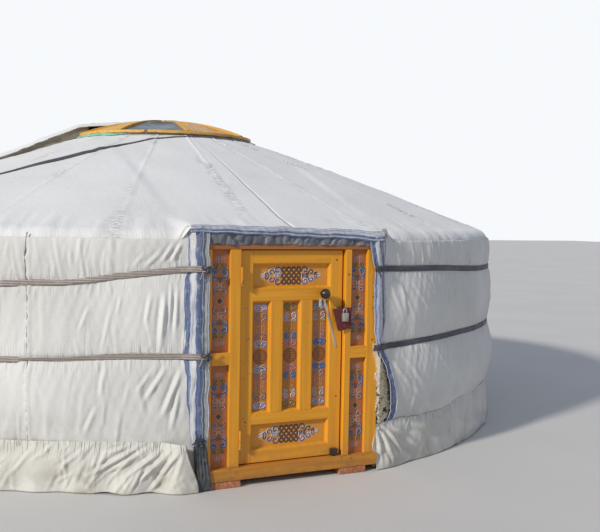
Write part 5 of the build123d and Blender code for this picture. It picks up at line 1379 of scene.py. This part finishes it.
class Brushwork:
    """Strokes laid on a panel: each colour is gathered, then swept as one piece."""

    def __init__(self, body, face_y):
        self.body, self.y, self.strokes = body, face_y, {}

    def stroke(self, line, colour, width, under=None):
        """A stroke with tapered ends, over a wider one in another colour where one is named."""
        line = np.array(line)
        taper = np.clip(np.minimum(np.arange(len(line)) + 1.2, len(line) - np.arange(len(line)) + 0.2) / 3, 0.35, 1)
        if under:
            self.add(line, under, (1.2 * width + 0.0075) * np.maximum(taper, 0.7), 0.0008)
        self.add(line, colour, 1.2 * width * taper, 0.0019)

    def add(self, line, colour, width, lift):
        """A plain stroke at a height over the panel, so that strokes don't lie in each other."""
        path = np.stack([line[:, 0], np.full(len(line), self.y - lift), line[:, 1]], -1)
        self.strokes.setdefault(colour, []).append((path, (0, -1, 0), width / STROKE))

    def both(self, x, line, colour, width, under=None):
        """A stroke and its mirror image about an upright line."""
        line = np.array(line, float)
        for side in (-1, 1):
            self.stroke(np.stack([x + side * line[:, 0], line[:, 1]], -1), colour, width, under)

    def curve(self, x, z, k, points, count, colour, width, under=None):
        """A smooth stroke and its mirror image, through points given as shares of a size."""
        self.both(x, flowing(np.array(points) * k + (0, z), count), colour, width, under)

    def cloud(self, x, z, w, h, up, colour, under):
        """Cloud head: two inward curls under an arch, with a pointed foot."""
        k = np.array((w, h * up))
        self.curve(x, z, k, ((0.02, 0.16), (0.12, 0.42), (0.28, 0.46), (0.42, 0.20), (0.50, -0.04), (0.34, -0.30),
                             (0.16, -0.36), (0.0, -0.56)), 21, colour, 0.0055, under)
        line = curl((0.20 * w, 0), 0.17 * w, 160, -1.25, 16)
        line[:, 1] = line[:, 1] * up * min(1.0, h / w * 1.5) + z
        self.both(x, line, colour, 0.0048, under)

    def scrolls(self, x, z, w, h, up, colour, under, core=None):
        """Pair of facing scrolls, each a curl with a tail."""
        k = np.array((w, h * up))
        tail = flowing(np.array(((0.08, -0.50), (0.22, -0.34), (0.42, -0.16), (0.46, 0.12))) * k, 9)
        head = curl((0.27 * w, 0.14 * h), 0.19 * w, 0, 1.2, 15)
        head[:, 1] *= up
        line = np.vstack([tail[:-1], head]) + (0, z)
        self.both(x, line, colour, 0.0052, under)
        self.curve(x, z, k, ((0.36, -0.20), (0.44, -0.38), (0.36, -0.48), (0.28, -0.42)), 8, colour, 0.0034, under)
        if core:
            self.both(x, curl((0.27 * w, (0.14 * h) * up + z), 0.07 * w, 0, 0.9, 7), core, 0.0045)

    def tendrils(self, x, z, w, h, up, colour):
        """Thin curls rising side by side."""
        k = np.array((w, h * up))
        self.curve(x, z, k, ((0.05, -0.5), (0.14, -0.1), (0.10, 0.22), (0.24, 0.48), (0.36, 0.36), (0.30, 0.22)), 15,
                   colour, 0.0034)
        self.curve(x, z, k, ((0.12, -0.42), (0.30, -0.36), (0.40, -0.12), (0.30, 0.02), (0.24, -0.10)), 12, colour,
                   0.0032)

    def diamond(self, x, z, w, h, colour, edge):
        """Filled diamond with an outline."""
        self.stroke([(x - w / 2, z), (x, z + h / 2), (x + w / 2, z), (x, z - h / 2), (x - w / 2, z), (x, z + h / 2)],
                    edge, 0.0018)
        for step in np.linspace(-0.30, 0.30, 5):
            reach = (0.36 - abs(step)) * w
            self.add(np.array(((x - reach, z + step * h), (x + reach, z + step * h))), colour,
                     np.full(2, 0.17 * h), 0.0004)

    def medallion(self, x, z, r):
        """Round sign of bars within two rings."""
        around = np.linspace(0, 2 * math.pi, 33)
        for reach, width in ((r, 0.007), (r * 0.80, 0.004)):
            self.add(np.stack([x + reach * np.cos(around), z + reach * np.sin(around)], -1), "umber",
                     np.full(33, width), 0.0006)
        for step, reach in ((-0.52, 0.50), (-0.26, 0.64), (0.0, 0.70), (0.26, 0.64), (0.52, 0.50)):
            self.add(np.array(((x - reach * r, z + step * r), (x + reach * r, z + step * r))), "umber",
                     np.full(2, 0.0056), 0.0006)
        self.add(np.array(((x, z - 0.7 * r), (x, z + 0.7 * r))), "umber", np.full(2, 0.005), 0.0007)

    def endless_knot(self, x, z, w, h):
        """Woven knot of diagonal bands with rounded turns, pale dots in its eyes."""
        t = np.linspace(0, 2 * math.pi, 145)

        def bounce(v):
            return 2 * np.abs(2 * (v - np.floor(v + 0.5))) - 1

        a, b = bounce(3 * t / (2 * math.pi)), bounce(4 * t / (2 * math.pi) + 0.25)
        line = np.stack([x + 0.5 * w * np.clip(a * 1.06, -0.96, 0.96),
                         z + 0.5 * h * np.clip(b * 1.06, -0.96, 0.96)], -1)
        line = np.vstack([line[:-1], line[:1]])
        self.add(line, "umber", np.full(len(line), 0.0135), 0.0016)
        eyes = [(dx, 0) for dx in (-0.375, -0.125, 0.125, 0.375)]
        eyes += [(dx, dz) for dx in (-0.125, 0.125) for dz in (-1 / 3, 1 / 3)]
        for dx, dz in eyes:
            centre = np.array((x + dx * w, z + dz * h))
            for colour, half, width, lift in (("pink", 0.0042, 0.0085, 0.0026), ("white", 0.0026, 0.0046, 0.0031)):
                self.add(np.stack([centre - (half, 0), centre + (half, 0)]), colour, np.full(2, width), lift)

    def wing(self, x, z, side, colours):
        """Scrolls that fill a diamond's half beside the knot and taper to a point."""
        places = ((0.098, 0.036, 0.027, 200), (0.084, 0.008, 0.011, 40), (0.142, 0.022, 0.022, 215),
                  (0.177, 0.010, 0.014, 225), (0.112, 0.006, 0.010, 230))
        for row, (colour, under) in zip((1, -1), colours):
            for k, (dx, dz, r, begin) in enumerate(places):
                line = curl((dx, dz), r, begin, -1.0, 14)
                tail = (line[0] + (-0.55 * r, 0.95 * r)) if k in (0, 2, 3) else line[0]
                line = np.stack([x + side * line[:, 0], z + row * line[:, 1]], -1)
                if k in (0, 2, 3):
                    line = np.vstack([(x + side * tail[0], z + row * min(tail[1], 0.062)), line])
                self.stroke(line, colour[k % len(colour)], 0.0078, under)
        tip = flowing(((0.180, 0.0), (0.198, 0.009), (0.216, 0.0), (0.198, -0.009), (0.182, 0.0)), 12)
        self.stroke(np.stack([x + side * tip[:, 0], z + tip[:, 1]], -1), "pink", 0.005, "white")

    def finish(self, paints, label):
        """One piece for each colour."""
        for colour, paths in self.strokes.items():
            swept("paint_%s_%s" % (label, colour), paths, STROKE, PAINT_HEIGHT, paints[colour],
                  body=self.body, sides=6)


def paint_colours():
    """The nine paints of the ornament."""
    table = {"blue": ((0.020, 0.055, 0.21), (0.012, 0.03, 0.12)), "sky": ((0.22, 0.36, 0.60), (0.12, 0.22, 0.42)),
             "violet": ((0.15, 0.13, 0.34), (0.08, 0.075, 0.22)), "green": ((0.035, 0.060, 0.045), (0.02, 0.03, 0.025)),
             "white": ((0.78, 0.75, 0.74), (0.60, 0.55, 0.54)), "pink": ((0.62, 0.42, 0.40), (0.46, 0.26, 0.24)),
             "red": ((0.36, 0.06, 0.045), (0.24, 0.04, 0.03)), "gold": ((0.58, 0.36, 0.09), (0.42, 0.24, 0.06)),
             "umber": ((0.13, 0.055, 0.025), (0.075, 0.032, 0.016))}
    return {name: mottled("paint_" + name, (60, 4, 0.3, 0.7), dark, light, ((180, 3), 0.0006, 0.5), rough=0.45)
            for name, (light, dark) in table.items()}


def ornament():
    """Scrolls, clouds, knots and medallions painted on the recessed panels."""
    paints = paint_colours()
    leaf = Brushwork("leaf", -(LEAF_FACE - PANEL_RECESS))
    schemes = (
        (("violet", "white"), ("green", "pink"), ("blue", "white"), ("umber", "pink"), "pink"),
        (("green", "gold"), ("violet", "white"), ("red", "pink"), ("blue", "sky"), "gold"),
        (("blue", "white"), ("green", "white"), ("blue", "sky"), ("umber", "pink"), "pink"),
    )
    for (x, z, _, _), (end, outer, near, inner, thin) in zip(UPRIGHTS, schemes):
        leaf.medallion(x, z, 0.045)
        for up in (1, -1):
            leaf.cloud(x, z + up * 0.082, 0.094, 0.040, -up, *near)
            leaf.scrolls(x, z + up * 0.129, 0.084, 0.044, -up, *inner)
            leaf.tendrils(x, z + up * 0.180, 0.080, 0.050, up, thin)
            leaf.tendrils(x, z + up * 0.212, 0.070, 0.030, -up, "gold")
            leaf.scrolls(x, z + up * 0.256, 0.090, 0.058, up, *outer)
            leaf.cloud(x, z + up * 0.318, 0.098, 0.044, up, *end)
    for x, z, _, _ in LEAF_LYING:
        leaf.wing(x, z, -1, ((("blue", "sky", "blue"), "white"), (("umber", "gold", "violet"), "pink")))
        leaf.wing(x, z, 1, ((("green", "umber", "green"), "pink"), (("violet", "blue", "violet"), "white")))
        leaf.endless_knot(x, z, 0.134, 0.112)
    leaf.finish(paints, "leaf")
    sides = Brushwork("base", -(POST_FRONT - PANEL_RECESS))
    for x, z in SIDE_PANELS:
        sides.diamond(x, z, 0.052, 0.052, "green", "white")
        for up in (1, -1):
            sides.both(x, [(0.022, z + up * 0.040), (0.029, z + up * 0.047), (0.022, z + up * 0.054),
                           (0.015, z + up * 0.047), (0.022, z + up * 0.040)], "white", 0.003)
            sides.scrolls(x, z + up * 0.062, 0.098, 0.050, -up, "umber", "pink", "umber")
            sides.both(x, flowing([(0.0, z + up * 0.068), (0.016, z + up * 0.082), (0.004, z + up * 0.100),
                                   (0.026, z + up * 0.122)], 14), "white", 0.003)
            sides.tendrils(x, z + up * 0.112, 0.104, 0.052, up, "pink")
            sides.tendrils(x, z + up * 0.134, 0.050, 0.034, -up, "green")
            sides.scrolls(x, z + up * 0.172, 0.116, 0.088, up, "blue", "sky", "green")
            sides.scrolls(x, z + up * 0.222, 0.082, 0.036, up, "green", "gold", "red")
            sides.tendrils(x, z + up * 0.258, 0.078, 0.046, -up, "pink")
            sides.tendrils(x, z + up * 0.268, 0.040, 0.030, up, "pink")
    sides.finish(paints, "frame")


aim_camera()
light_up()
felt_lining()
wall_cloth()
roof_cloth_pieces()
skirt_cloth_pieces()
pale_webbing, dark_and_shaded_webbing = webbing_finishes()
girth_bands(pale_webbing, dark_and_shaded_webbing)
girth_ties(dark_and_shaded_webbing)
flap_strap_band(dark_and_shaded_webbing)
hems()
header_tarp()
torn_felt()
dark_tail()
crown_flap_cloth()
crown_strip()
wall_seams()
red_pad()
nail_heads()

mouldings()
ornament()
refined("door_posts", yellow_upright, 0.003)
refined("door_mid_rails", yellow_level, 0.003)
refined("door_header", header_painted_shade, 0.003)
refined("door_sill", sill_paint, 0.004)
refined("door_stops", yellow_upright, 0.002)
refined("door_side_panels", shaded_side_panel_paint, 0.001)
refined("leaf_stiles", yellow_upright, 0.0022, "leaf")
refined("leaf_rails", yellow_level, 0.0022, "leaf")
refined("leaf_muntins", yellow_upright, 0.0022, "leaf")
refined("leaf_panels", shaded_leaf_panel_paint, 0.001, "leaf")
refined("columns", lattice_paint, 0.003)
refined("sill_bricks", fired_clay(), 0.003, chipped=(9, 0.004))
refined("hinge_frame_halves", hinge_paint, 0.0006)
refined("hinge_leaf_halves", hinge_paint, 0.0006, "leaf")
refined("leaf_knob_and_block", dark_gloss(), 0.001, "leaf")
refined("leaf_strap_and_tag", strap_and_tag_finish(), 0.0006, "leaf")
refined("hasp_and_padlock", worn_steel(), 0.0015, "leaf")
refined("crown_glass", dusty_glass(), 0.0008)
refined("crown_rim", rim_paint, 0.004)
for part, bevel in (("ribs", 0.003), ("hub", 0.003), ("battens", 0.002), ("boards", 0.002)):
    refined("crown_" + part, dome_paint, bevel)
for number in range(1, 6):
    refined("lattice_wall_%d" % number, lattice_paint, 0.0015, segments=1)
for part in ("right", "left", "door"):
    refined("roof_poles_" + part, lattice_paint, 0.0015, segments=1)
